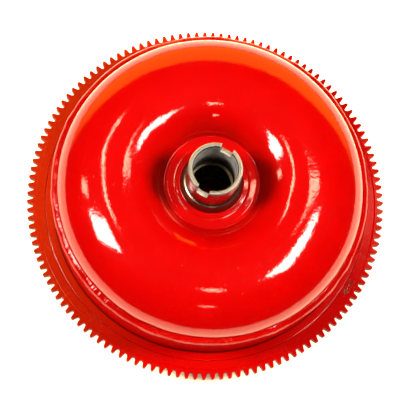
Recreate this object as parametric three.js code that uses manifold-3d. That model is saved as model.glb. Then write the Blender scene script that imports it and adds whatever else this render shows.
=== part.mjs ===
// A torque converter for an automatic transmission, of the three-element kind with no lock-up clutch.
//
// Millimetres, +Z up. The origin is the centre of the crankshaft pilot's end face. +Z runs along the
// converter's axis from the engine to the transmission, and the two drive slots are on the Y axis.
//
// The housing (cover, ring gear and impeller) is one welded unit that the engine turns. Inside it the
// turbine, the stator and the inner race of the stator's one-way clutch each turn about Z.
//
// A profile is a list of [radius, z] points that is turned about Z.

import * as THREE from 'three';
import { mergeVertices } from 'three/addons/utils/BufferGeometryUtils.js';
import Module from 'manifold-3d';

const wasm = await Module();
wasm.setup();

// ---- driving dimensions --------------------------------------------------------------------------

const GAP = 0.3; // left between pieces that touch
const BIG_SIDES = 48; // facets round the cover, the shells and the welds
const MID_SIDES = 32; // facets round the hubs and the clutch
const SMALL_SIDES = 12; // facets round pads, plugs and rollers

// Ring gear: full-depth teeth of 10 diametral pitch
const GEAR_TEETH = 131;
const GEAR_MODULE = 2.54;
const GEAR_DEDENDUM = 1.25 * GEAR_MODULE;
const GEAR_PRESSURE_ANGLE = THREE.MathUtils.degToRad(20);
const GEAR_CLOCKING = THREE.MathUtils.degToRad(1.49); // of one tooth, from the X axis
const GEAR_BORE_R = 152;
const GEAR_FRONT_Z = 24.5;
const GEAR_REAR_Z = 35;

// Front cover, with its engine side at the bottom
const WALL_R = 143.5; // outside of the straight wall
const WALL_INNER_R = 139;
const WALL_TOP_Z = 85;
const PLATE = 5;
const RIM_PLATE_Z = 19; // engine side of the flat zone that carries the pads
const MIDDLE_PLATE_Z = 28; // engine side of the dished middle
const MIDDLE_R = 98; // where the dished middle ends

// Pilot, drive pads and what else is on the engine side
const PILOT_R = 22.9;
const PAD_COUNT = 4;
const PAD_CIRCLE_R = 127;
const PAD_FACE_Z = 10;
const PAD_R = 16;
const PAD_HOLE_R = 4.3;
const PAD_HOLE_DEPTH = 7;
const DRAIN_HOLE_R = 5.9;
const DRAIN_ANGLE = Math.PI / 4; // between two pads; the balance weight is opposite

// Impeller and turbine: two halves of one torus
const CREST_R = 85.5; // radius of the torus's highest and lowest circles
const NECK_ANGLE = 153; // how far round the ellipse a half goes before it flattens out, in degrees
const SHELL = 3.2; // thickness of the impeller shell
const IMPELLER = {
  side: 1, // bulges towards +Z
  rimR: 138.6,
  rimZ: 79.2,
  centreZ: 88.5, // of the ellipse
  depth: 34, // from that centre to the crest
  neckSemiR: 46, // of the ellipse, from the crest inwards
  flatR: 36.3, // where the flat round the neck ends
  flatZ: 101.8,
};
const TURBINE_SHELL = 2;
const TURBINE = {
  side: -1, // bulges towards -Z
  rimR: 136,
  rimZ: 78,
  centreZ: 71.5,
  depth: 30.5,
  neckSemiR: 47,
  flatR: 24,
  flatZ: 59.5,
};
const MIDDLE_Z = 80; // plane where the oil passes from impeller to turbine
const EDGE_CLEARANCE = 1.5; // from that plane to the vanes on either side
const CORE = { r: 97, semiR: 27, semiZ: 23, sheet: 1.5, span: [4, 150] }; // ellipse of the hollow core
const VANE_SPAN = [30, 146]; // degrees round the shell's ellipse, from near the rim to near the neck
const VANE_THICKNESS = 1.2;
const VANE_CLEARANCE = 1.3; // from the vanes to the shell
const IMPELLER_VANES = 25;
const TURBINE_VANES = 23;

// Drive hub
const HUB_BORE_R = 19.45;
const HUB_TUBE_R = 23.7;
const HUB_TOP_Z = 148;
const COLLAR_FOOT_R = 28; // of the tapered collar between the flange and the tube
const COLLAR_TOP_R = 25.4;
const COLLAR_TOP_Z = 109;
const HUB_FLANGE_R = 33;
const HUB_BOTTOM_Z = 98.3;
const SLOT_WIDTH = 11.3;
const SLOT_DEPTH = 12.5;

// Turbine hub
const TURBINE_FLANGE_R = 39;
const TURBINE_FLANGE_Z = 54.2; // engine side of the flange
const TURBINE_HUB_Z = 36.2; // engine side of the hub
const INPUT_SPLINE = { teeth: 24, minorR: 11.5, majorR: 12.8, grooveHalf: 0.85, mouthHalf: 0.7 };
const TURBINE_WASHER_R = [14, 28];
const RIVET_COUNT = 6;
const RIVET_SIDES = 8; // facets round a rivet
const RIVET_CIRCLE_R = 34;
const RIVET_SHANK_R = 2.5;
const RIVET_HEAD_R = 4;
const RIVET_HEAD = 1.8;

// Stator and its one-way clutch
const STATOR_VANES = 13;
const STATOR_BORE_R = 41.3;
const STATOR_RING_R = 47.5; // outside of the inner ring
const STATOR_SHROUD_R = 66.3; // inside of the outer ring
const STATOR_SHROUD_WALL = 2.5;
const STATOR_SHROUD_Z = [70, 90];
const STATOR_VANE_Z = [67.5, 92.5];
const STATOR_Z = [62.6, 97.4];
const CLUTCH_Z = [68, 92];
const RACE_Z = [65.3, 94.7];
const OUTER_RACE_R = 40.9;
const INNER_RACE_R = 28;
const STATOR_SPLINE = { teeth: 24, minorR: 16.2, majorR: 17.6, grooveHalf: 1.2, mouthHalf: 1.0 };
const ROLLER_COUNT = 8;
const ROLLER_R = 4.2;
const ROLLER_PLAY = 0.15; // between a roller and each race
const ROLLER_END_PLAY = 1;
const ROLLER_CIRCLE_R = INNER_RACE_R + ROLLER_PLAY + ROLLER_R;
const LAND_R = 31.5; // outer race between its pockets
const POCKET_START = -9; // degrees from a roller to the tight end of its pocket
const POCKET_END = 27; // and to the end that holds its spring
const POCKET_R = [36.35, 37.6]; // at those two ends
const RETAINER_BORE_R = 28.7;
const GROOVE_R = 42.9; // of the snap ring grooves
const GROOVE_EDGE = 1; // from the end of the stator's ring to the groove
const GROOVE_WIDTH = 1.6;
const SNAP_RING_R = [39.5, 42.6];
const SNAP_RING_THICKNESS = 1;
const WASHER_R = [20.2, 29.5];
const WASHER_GAP = 0.5; // from the turbine to the front thrust washer

// ---- finishes --------------------------------------------------------------------------------------

const RED_PAINT = { color: 0xd0140a, roughness: 0.22, metalness: 0 };
const MACHINED_STEEL = { color: 0xa7a6a3, roughness: 0.32, metalness: 1 };
const PRESSED_STEEL = { color: 0x7d7c7a, roughness: 0.45, metalness: 1 };
const HARDENED_STEEL = { color: 0x8d8c88, roughness: 0.2, metalness: 1 };
const SPRING_STEEL = { color: 0x6d7078, roughness: 0.3, metalness: 1 };
const CAST_ALUMINIUM = { color: 0xc2c4c6, roughness: 0.5, metalness: 1 };
const BRONZE = { color: 0xa97b3c, roughness: 0.35, metalness: 1 };

// ---- geometry helpers ------------------------------------------------------------------------------

// Turns a profile about Z. It closes on itself, unless it starts and ends on the axis.
function turned(profile, sides) {
  const line = profile.map(([r, z]) => new THREE.Vector2(r, z));
  if (THREE.ShapeUtils.area(line) < 0) {
    line.reverse();
  }
  if (line[0].x > 0) {
    line.push(line[0]);
  }
  return new THREE.LatheGeometry(line, sides).rotateX(Math.PI / 2);
}

// A flat ring or disc between two heights, with vertical sides.
function extruded(outline, bottom, top, hole = null) {
  const shape = new THREE.Shape(outline);
  if (hole) {
    shape.holes.push(new THREE.Path(hole));
  }
  const geometry = new THREE.ExtrudeGeometry(shape, { depth: top - bottom, bevelEnabled: false });
  return geometry.translate(0, 0, bottom);
}

// A point of a plane outline from its radius and its angle in radians.
function polar(radius, angle) {
  return new THREE.Vector2(radius * Math.cos(angle), radius * Math.sin(angle));
}

function circle(radius, sides) {
  return Array.from({ length: sides }, (_, i) => polar(radius, (2 * Math.PI * i) / sides));
}

// A circle of innerR with trapezium teeth out to outerR. The half widths are those of one tooth.
function toothed(count, innerR, outerR, innerHalf, outerHalf, clocking = 0) {
  const outline = [];
  for (let i = 0; i < count; i += 1) {
    const angle = clocking + (2 * Math.PI * i) / count;
    outline.push(polar(innerR, angle - innerHalf / innerR));
    outline.push(polar(outerR, angle - outerHalf / outerR));
    outline.push(polar(outerR, angle + outerHalf / outerR));
    outline.push(polar(innerR, angle + innerHalf / innerR));
  }
  return outline;
}

function splineHole({ teeth, minorR, majorR, grooveHalf, mouthHalf }) {
  return toothed(teeth, minorR, majorR, grooveHalf, mouthHalf);
}

// Profile points on an ellipse about [centreR, centreZ], from one angle to another in degrees.
function ellipse(centreR, centreZ, semiR, semiZ, start, end, steps) {
  return Array.from({ length: steps + 1 }, (_, i) => {
    const angle = THREE.MathUtils.degToRad(start + ((end - start) * i) / steps);
    return [centreR + semiR * Math.cos(angle), centreZ + semiZ * Math.sin(angle)];
  });
}

// A line of profile points moved sideways, to the left of the way it runs.
function offset(line, distance) {
  return line.map(([r, z], i) => {
    const [r0, z0] = line[Math.max(i - 1, 0)];
    const [r1, z1] = line[Math.min(i + 1, line.length - 1)];
    const length = Math.hypot(r1 - r0, z1 - z0);
    return [r - (distance * (z1 - z0)) / length, z + (distance * (r1 - r0)) / length];
  });
}

// The profile of a sheet whose one face is the line and whose other face is distance to its left.
function sheet(line, distance) {
  return [...line, ...offset(line, distance).reverse()];
}

function solid(geometry) {
  geometry.deleteAttribute('normal');
  geometry.deleteAttribute('uv');
  const merged = mergeVertices(geometry, 1e-3);
  const mesh = new wasm.Mesh({
    numProp: 3,
    vertProperties: merged.attributes.position.array,
    triVerts: new Uint32Array(merged.index.array),
  });
  return new wasm.Manifold(mesh);
}

function geometryOf(made) {
  const mesh = made.getMesh();
  const geometry = new THREE.BufferGeometry();
  geometry.setAttribute('position', new THREE.BufferAttribute(mesh.vertProperties, 3));
  geometry.setIndex(new THREE.BufferAttribute(mesh.triVerts, 1));
  geometry.computeVertexNormals();
  return geometry;
}

function joined(geometries) {
  const [first, ...others] = geometries.map(solid);
  return geometryOf(others.reduce((whole, piece) => whole.add(piece), first));
}

function cutBy(geometry, cutters) {
  return geometryOf(cutters.map(solid).reduce((rest, cutter) => rest.subtract(cutter), solid(geometry)));
}

// count copies of a geometry, evenly about Z.
function roundAxis(count, makeGeometry) {
  return Array.from({ length: count }, (_, i) => makeGeometry().rotateZ((2 * Math.PI * i) / count));
}

// ---- adding parts ----------------------------------------------------------------------------------

const converter = new THREE.Group();
const housing = new THREE.Group();
const turbine = new THREE.Group();
const stator = new THREE.Group();
converter.add(housing, turbine, stator);

function addPart(group, name, geometry, finish) {
  const mesh = new THREE.Mesh(geometry, new THREE.MeshStandardMaterial(finish));
  mesh.name = name;
  group.add(mesh);
  return mesh;
}

// Adds count copies of a part as name_1, name_2 and so on, evenly about Z.
function addRound(group, name, count, makeGeometry, finish) {
  for (let i = 0; i < count; i += 1) {
    const mesh = addPart(group, `${name}_${i + 1}`, makeGeometry(), finish);
    mesh.rotation.z = (2 * Math.PI * i) / count;
  }
}

// ---- housing: front cover and what is welded to it -------------------------------------------------

function frontCoverGeometry() {
  const wallFoot = 6; // radius inside, where the wall meets the plate
  const rimChamfer = 4;
  const dishSlope = 12; // radial width of the slope between the two flat zones
  const slopeShift = 2; // outwards on the inside, so that the slope is as thick as the flat zones
  const outside = [
    [0, MIDDLE_PLATE_Z],
    [MIDDLE_R, MIDDLE_PLATE_Z],
    [MIDDLE_R + dishSlope, RIM_PLATE_Z],
    [GEAR_BORE_R - GAP - rimChamfer, RIM_PLATE_Z],
    [GEAR_BORE_R - GAP, RIM_PLATE_Z + rimChamfer],
    [GEAR_BORE_R - GAP, GEAR_REAR_Z],
    [WALL_R, GEAR_REAR_Z],
    [WALL_R, WALL_TOP_Z],
  ];
  const footZ = RIM_PLATE_Z + PLATE + wallFoot;
  const inside = [
    [WALL_INNER_R, WALL_TOP_Z],
    ...ellipse(WALL_INNER_R - wallFoot, footZ, wallFoot, wallFoot, 0, -90, 3),
    [MIDDLE_R + dishSlope + slopeShift, RIM_PLATE_Z + PLATE],
    [MIDDLE_R + slopeShift, MIDDLE_PLATE_Z + PLATE],
    [0, MIDDLE_PLATE_Z + PLATE],
  ];
  const drainHole = extruded(circle(DRAIN_HOLE_R, SMALL_SIDES), RIM_PLATE_Z - 1, RIM_PLATE_Z + PLATE + 1);
  drainHole.translate(PAD_CIRCLE_R, 0, 0).rotateZ(DRAIN_ANGLE);
  return cutBy(turned([...outside, ...inside], BIG_SIDES), [drainHole]);
}

// A solid stub, centre-drilled, with a flange that is welded to the cover.
function crankPilotGeometry() {
  const drillR = 5;
  const drillDepth = 6;
  const chamfer = 2;
  const [taperStart, taperEnd] = [14, 18]; // heights where the stub widens out to its flange
  const flangeR = 34;
  const topZ = MIDDLE_PLATE_Z - GAP;
  const profile = [
    [0, drillDepth],
    [drillR, 0],
    [PILOT_R - chamfer, 0],
    [PILOT_R, chamfer],
    [PILOT_R, taperStart],
    [flangeR, taperEnd],
    [flangeR, topZ],
    [0, topZ],
  ];
  return turned(profile, MID_SIDES);
}

// A round boss with a blind tapped hole for a flexplate bolt.
function drivePadGeometry() {
  const chamfer = 1;
  const topZ = RIM_PLATE_Z - GAP;
  const profile = [
    [0, PAD_FACE_Z + PAD_HOLE_DEPTH],
    [PAD_HOLE_R, PAD_FACE_Z + PAD_HOLE_DEPTH],
    [PAD_HOLE_R, PAD_FACE_Z],
    [PAD_R - chamfer, PAD_FACE_Z],
    [PAD_R, PAD_FACE_Z + chamfer],
    [PAD_R, topZ],
    [0, topZ],
  ];
  return turned(profile, SMALL_SIDES).translate(PAD_CIRCLE_R, 0, 0);
}

// A hexagon head on a shank that fills the drain hole.
function drainPlugGeometry() {
  const headR = 8;
  const headZ = 14;
  const overlap = 1;
  const shankR = DRAIN_HOLE_R - GAP - 0.1;
  const seatZ = RIM_PLATE_Z - GAP;
  const head = extruded(circle(headR, 6), headZ, seatZ);
  const shank = extruded(circle(shankR, SMALL_SIDES), headZ + overlap, RIM_PLATE_Z + PLATE + 1);
  return joined([head, shank]).translate(PAD_CIRCLE_R, 0, 0).rotateZ(DRAIN_ANGLE);
}

// A flat plate with rounded ends, spot-welded to the cover.
function balanceWeightGeometry() {
  const halfLength = 12;
  const endR = 7;
  const thickness = 3;
  const outline = new THREE.Shape();
  outline.absarc(0, halfLength, endR, 0, Math.PI);
  outline.absarc(0, -halfLength, endR, Math.PI, 2 * Math.PI);
  const topZ = RIM_PLATE_Z - GAP;
  const geometry = extruded(outline.getPoints(4).slice(0, -1), topZ - thickness, topZ);
  return geometry.translate(PAD_CIRCLE_R, 0, 0).rotateZ(DRAIN_ANGLE + Math.PI);
}

// Teeth with straight flanks, as wide at the pitch circle as the gaps between them.
function ringGearGeometry() {
  const pitchR = (GEAR_MODULE * GEAR_TEETH) / 2;
  const pitchHalf = (Math.PI * GEAR_MODULE) / 4;
  const slope = Math.tan(GEAR_PRESSURE_ANGLE);
  const outline = toothed(
    GEAR_TEETH,
    pitchR - GEAR_DEDENDUM,
    pitchR + GEAR_MODULE,
    pitchHalf + GEAR_DEDENDUM * slope,
    pitchHalf - GEAR_MODULE * slope,
    GEAR_CLOCKING,
  );
  return extruded(outline, GEAR_FRONT_Z, GEAR_REAR_Z, circle(GEAR_BORE_R, BIG_SIDES));
}

// Fillet weld between the ring gear and the cover, on the engine side.
function gearWeldGeometry() {
  const leg = 3.5;
  const top = GEAR_FRONT_Z - GAP;
  return turned([[GEAR_BORE_R, top], [GEAR_BORE_R, top - leg], [GEAR_BORE_R + leg, top]], BIG_SIDES);
}

// The bead that joins the cover to the impeller shell.
function closureWeldGeometry() {
  const inner = IMPELLER.rimR + GAP + 0.1;
  const foot = WALL_TOP_Z + GAP;
  const crown = foot + 5.3;
  const swell = 0.5; // how far the bead stands out from the wall
  const shoulder = 1.5;
  const bead = [
    [inner, foot],
    [WALL_R - 0.1, foot],
    [WALL_R + swell, foot + shoulder],
    [WALL_R - shoulder, crown - shoulder],
    [inner, crown],
  ];
  return turned(bead, BIG_SIDES);
}

// ---- torus halves ----------------------------------------------------------------------------------

// The outside of a half torus, from its rim, over its crest, to the flat round its neck.
// side is 1 for the half that bulges towards +Z and -1 for the other.
function torusOutside({ rimR, rimZ, centreZ, depth, neckSemiR, flatR, flatZ, side }) {
  const outer = ellipse(CREST_R, centreZ, rimR - CREST_R, side * depth, 0, 90, 4);
  const inner = ellipse(CREST_R, centreZ, neckSemiR, side * depth, 90, NECK_ANGLE, 3);
  const [neckR, neckZ] = inner[inner.length - 1];
  const neck = THREE.MathUtils.degToRad(NECK_ANGLE);
  const steepness = (depth * Math.cos(neck)) / (neckSemiR * Math.sin(neck));
  const cornerR = neckR - Math.abs((neckZ - flatZ) / steepness);
  const reach = Math.hypot(neckR - cornerR, neckZ - flatZ);
  const fillet = new THREE.QuadraticBezierCurve(
    new THREE.Vector2(neckR, neckZ),
    new THREE.Vector2(cornerR, flatZ),
    new THREE.Vector2(cornerR - reach, flatZ),
  );
  const foot = fillet.getPoints(2).slice(1).map(({ x, y }) => [x, y]);
  return [[rimR, rimZ], ...outer, ...inner.slice(1), ...foot, [flatR, flatZ]];
}

// The edge of a vane along its shell, from the rim to the neck.
function shellEdge(half, thickness) {
  const [start, end] = VANE_SPAN;
  const inset = thickness + VANE_CLEARANCE;
  const rim = [half.rimR - inset, MIDDLE_Z + half.side * EDGE_CLEARANCE];
  const bulge = half.side * (half.depth - inset);
  const outer = ellipse(CREST_R, half.centreZ, half.rimR - CREST_R - inset, bulge, start, 90, 2);
  const inner = ellipse(CREST_R, half.centreZ, half.neckSemiR - inset, bulge, 90, end, 2);
  return [rim, ...outer, ...inner.slice(1)];
}

// The vanes of one half, brazed to their half of the hollow core, as one closed mesh.
// lean gives a vane's angle about Z, in radians, from 0 at the rim to 1 at the neck.
function vaneRingGeometry(half, thickness, count, lean) {
  const shellLine = shellEdge(half, thickness);
  const last = shellLine.length - 1;
  const coreLine = ellipse(CORE.r, MIDDLE_Z, CORE.semiR, half.side * CORE.semiZ, ...CORE.span, last);
  const backLine = offset(coreLine, half.side * CORE.sheet);
  // A vane's cross-section: down one face, up the other, and the back of the core behind it.
  const section = [[coreLine, -1], [shellLine, -1], [shellLine, 1], [coreLine, 1], [backLine, 0]];
  const [CORE_LEFT, SHELL_LEFT, SHELL_RIGHT, CORE_RIGHT, BACK] = section.keys();
  const points = [];
  for (let vane = 0; vane < count; vane += 1) {
    for (let station = 0; station <= last; station += 1) {
      for (const [line, face] of section) {
        const [r, z] = line[station];
        const spread = (face * VANE_THICKNESS) / 2 / r;
        const angle = (2 * Math.PI * vane) / count + lean(station / last) + spread;
        points.push(new THREE.Vector3(r * Math.cos(angle), r * Math.sin(angle), z));
      }
    }
  }
  const at = (vane, station, corner) => ((vane % count) * (last + 1) + station) * section.length + corner;
  const index = [];
  const quad = (a, b, c, d) => {
    if (points[a].distanceTo(points[c]) < points[b].distanceTo(points[d])) {
      index.push(a, b, c, a, c, d);
    } else {
      index.push(a, b, d, b, c, d);
    }
  };
  for (let vane = 0; vane < count; vane += 1) {
    const loop = [CORE_LEFT, SHELL_LEFT, SHELL_RIGHT, CORE_RIGHT].map((corner) => [vane, corner]);
    loop.push([vane + 1, CORE_LEFT]);
    for (let station = 0; station < last; station += 1) {
      for (let i = 0; i < loop.length - 1; i += 1) {
        const [vaneA, cornerA] = loop[i];
        const [vaneB, cornerB] = loop[i + 1];
        quad(
          at(vaneA, station, cornerA),
          at(vaneB, station, cornerB),
          at(vaneB, station + 1, cornerB),
          at(vaneA, station + 1, cornerA),
        );
      }
      quad(
        at(vane + 1, station, BACK),
        at(vane, station, BACK),
        at(vane, station + 1, BACK),
        at(vane + 1, station + 1, BACK),
      );
    }
    for (const [station, outlet] of [[0, true], [last, false]]) {
      const corner = (k, name) => at(vane + k, station, name);
      const ends = [
        [corner(0, CORE_LEFT), corner(0, CORE_RIGHT), corner(0, SHELL_RIGHT), corner(0, SHELL_LEFT)],
        [corner(0, BACK), corner(1, BACK), corner(1, CORE_LEFT), corner(0, CORE_RIGHT)],
      ];
      ends.forEach((end) => quad(...(outlet ? end : end.reverse())));
      const foot = [corner(0, CORE_LEFT), corner(0, BACK), corner(0, CORE_RIGHT)];
      index.push(...(outlet ? foot : foot.reverse()));
    }
  }
  if (half.side < 0) {
    index.reverse();
  }
  const geometry = new THREE.BufferGeometry().setFromPoints(points);
  geometry.setIndex(index);
  geometry.computeVertexNormals();
  return geometry;
}

// ---- drive hub -------------------------------------------------------------------------------------

// A tube with a collar and a flange at its foot, and two open slots across its end.
function impellerHubGeometry() {
  const chamfer = 0.8;
  const flangeZ = IMPELLER.flatZ;
  const profile = [
    [HUB_BORE_R, HUB_BOTTOM_Z],
    [HUB_FLANGE_R, HUB_BOTTOM_Z],
    [HUB_FLANGE_R, flangeZ],
    [COLLAR_FOOT_R, flangeZ],
    [COLLAR_TOP_R, COLLAR_TOP_Z],
    [HUB_TUBE_R, COLLAR_TOP_Z + 0.5],
    [HUB_TUBE_R, HUB_TOP_Z - chamfer],
    [HUB_TUBE_R - chamfer, HUB_TOP_Z],
    [HUB_BORE_R + chamfer, HUB_TOP_Z],
    [HUB_BORE_R, HUB_TOP_Z - chamfer],
  ];
  const slots = new THREE.BoxGeometry(SLOT_WIDTH, 3 * HUB_TUBE_R, 2 * SLOT_DEPTH);
  slots.translate(0, 0, HUB_TOP_Z);
  return cutBy(turned(profile, MID_SIDES), [slots]);
}

// The rough bead round the hub's flange, lapped over the shell.
function hubWeldGeometry() {
  const inner = HUB_FLANGE_R + GAP;
  const shellEdgeR = IMPELLER.flatR - GAP;
  const outerR = 41;
  const crownR = 36;
  const height = 1.6;
  const seat = IMPELLER.flatZ + GAP;
  const bead = [
    [inner, HUB_BOTTOM_Z + GAP],
    [shellEdgeR, HUB_BOTTOM_Z + GAP],
    [shellEdgeR, seat],
    [outerR, seat],
    [outerR - height, seat + 0.7 * height],
    [crownR, seat + height],
    [inner, seat + 0.5 * height],
  ];
  return turned(bead, MID_SIDES);
}

// ---- turbine ---------------------------------------------------------------------------------------

function rivetHoles(bottom, top) {
  const outline = circle(RIVET_SHANK_R + GAP, RIVET_SIDES);
  return roundAxis(RIVET_COUNT, () => extruded(outline, bottom, top).translate(RIVET_CIRCLE_R, 0, 0));
}

function turbineShellGeometry() {
  const profile = sheet(torusOutside(TURBINE), -TURBINE_SHELL);
  return cutBy(turned(profile, MID_SIDES), rivetHoles(TURBINE.flatZ - 1, TURBINE.flatZ + TURBINE_SHELL + 1));
}

// The splined body, a flange for the rivets, and a spigot that centres the shell.
function turbineHubGeometry() {
  const bodyR = 20;
  const chamfer = 1;
  const spigotR = TURBINE.flatR - GAP;
  const flangeTop = TURBINE.flatZ - GAP;
  const rearZ = TURBINE.flatZ + TURBINE_SHELL;
  const innerR = INPUT_SPLINE.minorR - 2; // before the spline is cut
  const profile = [
    [innerR, TURBINE_HUB_Z],
    [bodyR - chamfer, TURBINE_HUB_Z],
    [bodyR, TURBINE_HUB_Z + chamfer],
    [bodyR, TURBINE_FLANGE_Z],
    [TURBINE_FLANGE_R, TURBINE_FLANGE_Z],
    [TURBINE_FLANGE_R, flangeTop],
    [spigotR, flangeTop],
    [spigotR, rearZ],
    [innerR, rearZ],
  ];
  const spline = extruded(splineHole(INPUT_SPLINE), TURBINE_HUB_Z - 1, rearZ + 1);
  return cutBy(turned(profile, MID_SIDES), [spline, ...rivetHoles(TURBINE_FLANGE_Z - 1, flangeTop + 1)]);
}

// A shank through the flange and the shell, with a flat head at either end.
function turbineRivetGeometry() {
  const lowSeat = TURBINE_FLANGE_Z - GAP;
  const highSeat = TURBINE.flatZ + TURBINE_SHELL + GAP;
  const profile = [
    [0, lowSeat - RIVET_HEAD],
    [RIVET_HEAD_R, lowSeat - RIVET_HEAD],
    [RIVET_HEAD_R, lowSeat],
    [RIVET_SHANK_R, lowSeat],
    [RIVET_SHANK_R, highSeat],
    [RIVET_HEAD_R, highSeat],
    [RIVET_HEAD_R, highSeat + RIVET_HEAD],
    [0, highSeat + RIVET_HEAD],
  ];
  return turned(profile, RIVET_SIDES).translate(RIVET_CIRCLE_R, 0, 0);
}

// ---- stator ----------------------------------------------------------------------------------------

function flatRing(innerR, outerR, bottom, top, sides) {
  return turned([[innerR, bottom], [outerR, bottom], [outerR, top], [innerR, top]], sides);
}

// One cambered vane, its round nose towards the turbine. t runs from 0 at the nose to 1 at the tail.
function statorVaneGeometry() {
  const [bottom, top] = STATOR_VANE_Z;
  const thickness = 4.4;
  const edge = 0.3; // half thickness of the nose and the tail
  const swing = 12; // how strongly the camber line bends
  const apex = 0.35; // where it turns back
  const shift = 4; // from the apex to the vane's own plane
  const steps = 3;
  const overlap = 1; // into the ring and the shroud
  const camber = (t) => swing * (t - apex) * (t - apex) - shift;
  const half = (t) => (thickness / 2) * Math.sqrt(Math.max(4 * t * (1 - t), 0)) * (1.25 - t) + edge;
  const place = (t, side) => new THREE.Vector2(camber(t) + side * half(t), bottom + t * (top - bottom));
  const stations = Array.from({ length: steps + 1 }, (_, i) => i / steps);
  const outline = [
    ...stations.map((t) => place(t, 1)),
    ...stations.map((t) => place(t, -1)).reverse(),
  ];
  const geometry = new THREE.ExtrudeGeometry(new THREE.Shape(outline), {
    depth: STATOR_SHROUD_R - STATOR_RING_R + 2 * overlap,
    bevelEnabled: false,
  });
  return geometry.translate(0, 0, STATOR_RING_R - overlap).rotateX(Math.PI / 2);
}

// One casting: the inner ring with its snap ring grooves, the vanes and the outer ring.
function statorWheelGeometry() {
  const [bottom, top] = STATOR_Z;
  const [lowGroove, highGroove] = [bottom + GROOVE_EDGE, top - GROOVE_EDGE];
  const sides = 2 * STATOR_VANES;
  const ring = [
    [STATOR_BORE_R, bottom],
    [STATOR_RING_R, bottom],
    [STATOR_RING_R, top],
    [STATOR_BORE_R, top],
    [STATOR_BORE_R, highGroove],
    [GROOVE_R, highGroove],
    [GROOVE_R, highGroove - GROOVE_WIDTH],
    [STATOR_BORE_R, highGroove - GROOVE_WIDTH],
    [STATOR_BORE_R, lowGroove + GROOVE_WIDTH],
    [GROOVE_R, lowGroove + GROOVE_WIDTH],
    [GROOVE_R, lowGroove],
    [STATOR_BORE_R, lowGroove],
  ];
  const shroud = flatRing(
    STATOR_SHROUD_R,
    STATOR_SHROUD_R + STATOR_SHROUD_WALL,
    ...STATOR_SHROUD_Z,
    sides,
  );
  return joined([turned(ring, sides), shroud, ...roundAxis(STATOR_VANES, statorVaneGeometry)]);
}

// The outline of the outer race's bore: a land, then a pocket whose wall slopes outwards.
function pocketOutline() {
  const steps = 6;
  const edge = 0.5; // degrees from a pocket's corner to the land
  const outline = [];
  for (let i = 0; i < ROLLER_COUNT; i += 1) {
    const at = (degrees) => THREE.MathUtils.degToRad((360 * i) / ROLLER_COUNT + degrees);
    outline.push(polar(LAND_R, at(POCKET_START - edge)));
    for (let k = 0; k <= steps; k += 1) {
      const t = k / steps;
      const radius = THREE.MathUtils.lerp(...POCKET_R, t);
      outline.push(polar(radius, at(THREE.MathUtils.lerp(POCKET_START, POCKET_END, t))));
    }
    outline.push(polar(LAND_R, at(POCKET_END + edge)));
  }
  return outline;
}

// A strip folded to and fro, which pushes a roller towards the tight end of its pocket.
function clutchSpringGeometry() {
  const folds = 6;
  const tip = 1.8; // of a fold, measured radially: the strip itself is 0.5 thick
  const sideMargin = 4; // from the ends of the race
  const [innerR, outerR] = [30.8, 35.6];
  const [start, end] = [9, POCKET_END - 1.2].map(THREE.MathUtils.degToRad);
  const [bottom, top] = CLUTCH_Z;
  const side = (shift) => Array.from({ length: folds + 1 }, (_, i) => {
    const radius = (i % 2 ? outerR : innerR) + shift;
    return polar(radius, start + ((end - start) * i) / folds);
  });
  const outline = [...side(tip / 2), ...side(-tip / 2).reverse()];
  return extruded(outline, bottom + sideMargin, top - sideMargin);
}

function clutchRollerGeometry() {
  const [bottom, top] = CLUTCH_Z;
  return extruded(circle(ROLLER_R, SMALL_SIDES), bottom + ROLLER_END_PLAY, top - ROLLER_END_PLAY);
}

// An open ring. gapAngle is half of its gap, in radians.
function snapRingGeometry(bottom) {
  const gapAngle = 0.25;
  const steps = 12;
  const [innerR, outerR] = SNAP_RING_R;
  const arc = (radius) => Array.from({ length: steps + 1 }, (_, i) => {
    return polar(radius, gapAngle + ((2 * Math.PI - 2 * gapAngle) * i) / steps);
  });
  return extruded([...arc(outerR), ...arc(innerR).reverse()], bottom, bottom + SNAP_RING_THICKNESS);
}

// ---- assembly --------------------------------------------------------------------------------------

addPart(housing, 'front_cover', frontCoverGeometry(), RED_PAINT);
addPart(housing, 'crank_pilot', crankPilotGeometry(), MACHINED_STEEL);
addRound(housing, 'drive_pad', PAD_COUNT, drivePadGeometry, RED_PAINT);
addPart(housing, 'drain_plug', drainPlugGeometry(), MACHINED_STEEL);
addPart(housing, 'balance_weight', balanceWeightGeometry(), RED_PAINT);
addPart(housing, 'ring_gear', ringGearGeometry(), RED_PAINT);
addPart(housing, 'ring_gear_weld', gearWeldGeometry(), RED_PAINT);
addPart(housing, 'closure_weld', closureWeldGeometry(), RED_PAINT);
addPart(housing, 'impeller_shell', turned(sheet(torusOutside(IMPELLER), SHELL), BIG_SIDES), RED_PAINT);
const impellerLean = (t) => 0.22 * t * t; // radians, from 0 at the rim
addPart(
  housing,
  'impeller_vane_ring',
  vaneRingGeometry(IMPELLER, SHELL, IMPELLER_VANES, impellerLean),
  PRESSED_STEEL,
);
addPart(housing, 'impeller_hub', impellerHubGeometry(), MACHINED_STEEL);
addPart(housing, 'hub_weld', hubWeldGeometry(), RED_PAINT);

const turbineLean = (t) => 0.42 * Math.sin(Math.PI * t) + 0.25 * t; // bowed, with a steady lean
addPart(turbine, 'turbine_shell', turbineShellGeometry(), PRESSED_STEEL);
addPart(
  turbine,
  'turbine_vane_ring',
  vaneRingGeometry(TURBINE, TURBINE_SHELL, TURBINE_VANES, turbineLean),
  PRESSED_STEEL,
);
addPart(turbine, 'turbine_hub', turbineHubGeometry(), MACHINED_STEEL);
addRound(turbine, 'turbine_rivet', RIVET_COUNT, turbineRivetGeometry, PRESSED_STEEL);
const coverInsideZ = MIDDLE_PLATE_Z + PLATE;
addPart(
  turbine,
  'turbine_thrust_washer',
  flatRing(...TURBINE_WASHER_R, coverInsideZ + GAP, TURBINE_HUB_Z - GAP, MID_SIDES),
  BRONZE,
);

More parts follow.
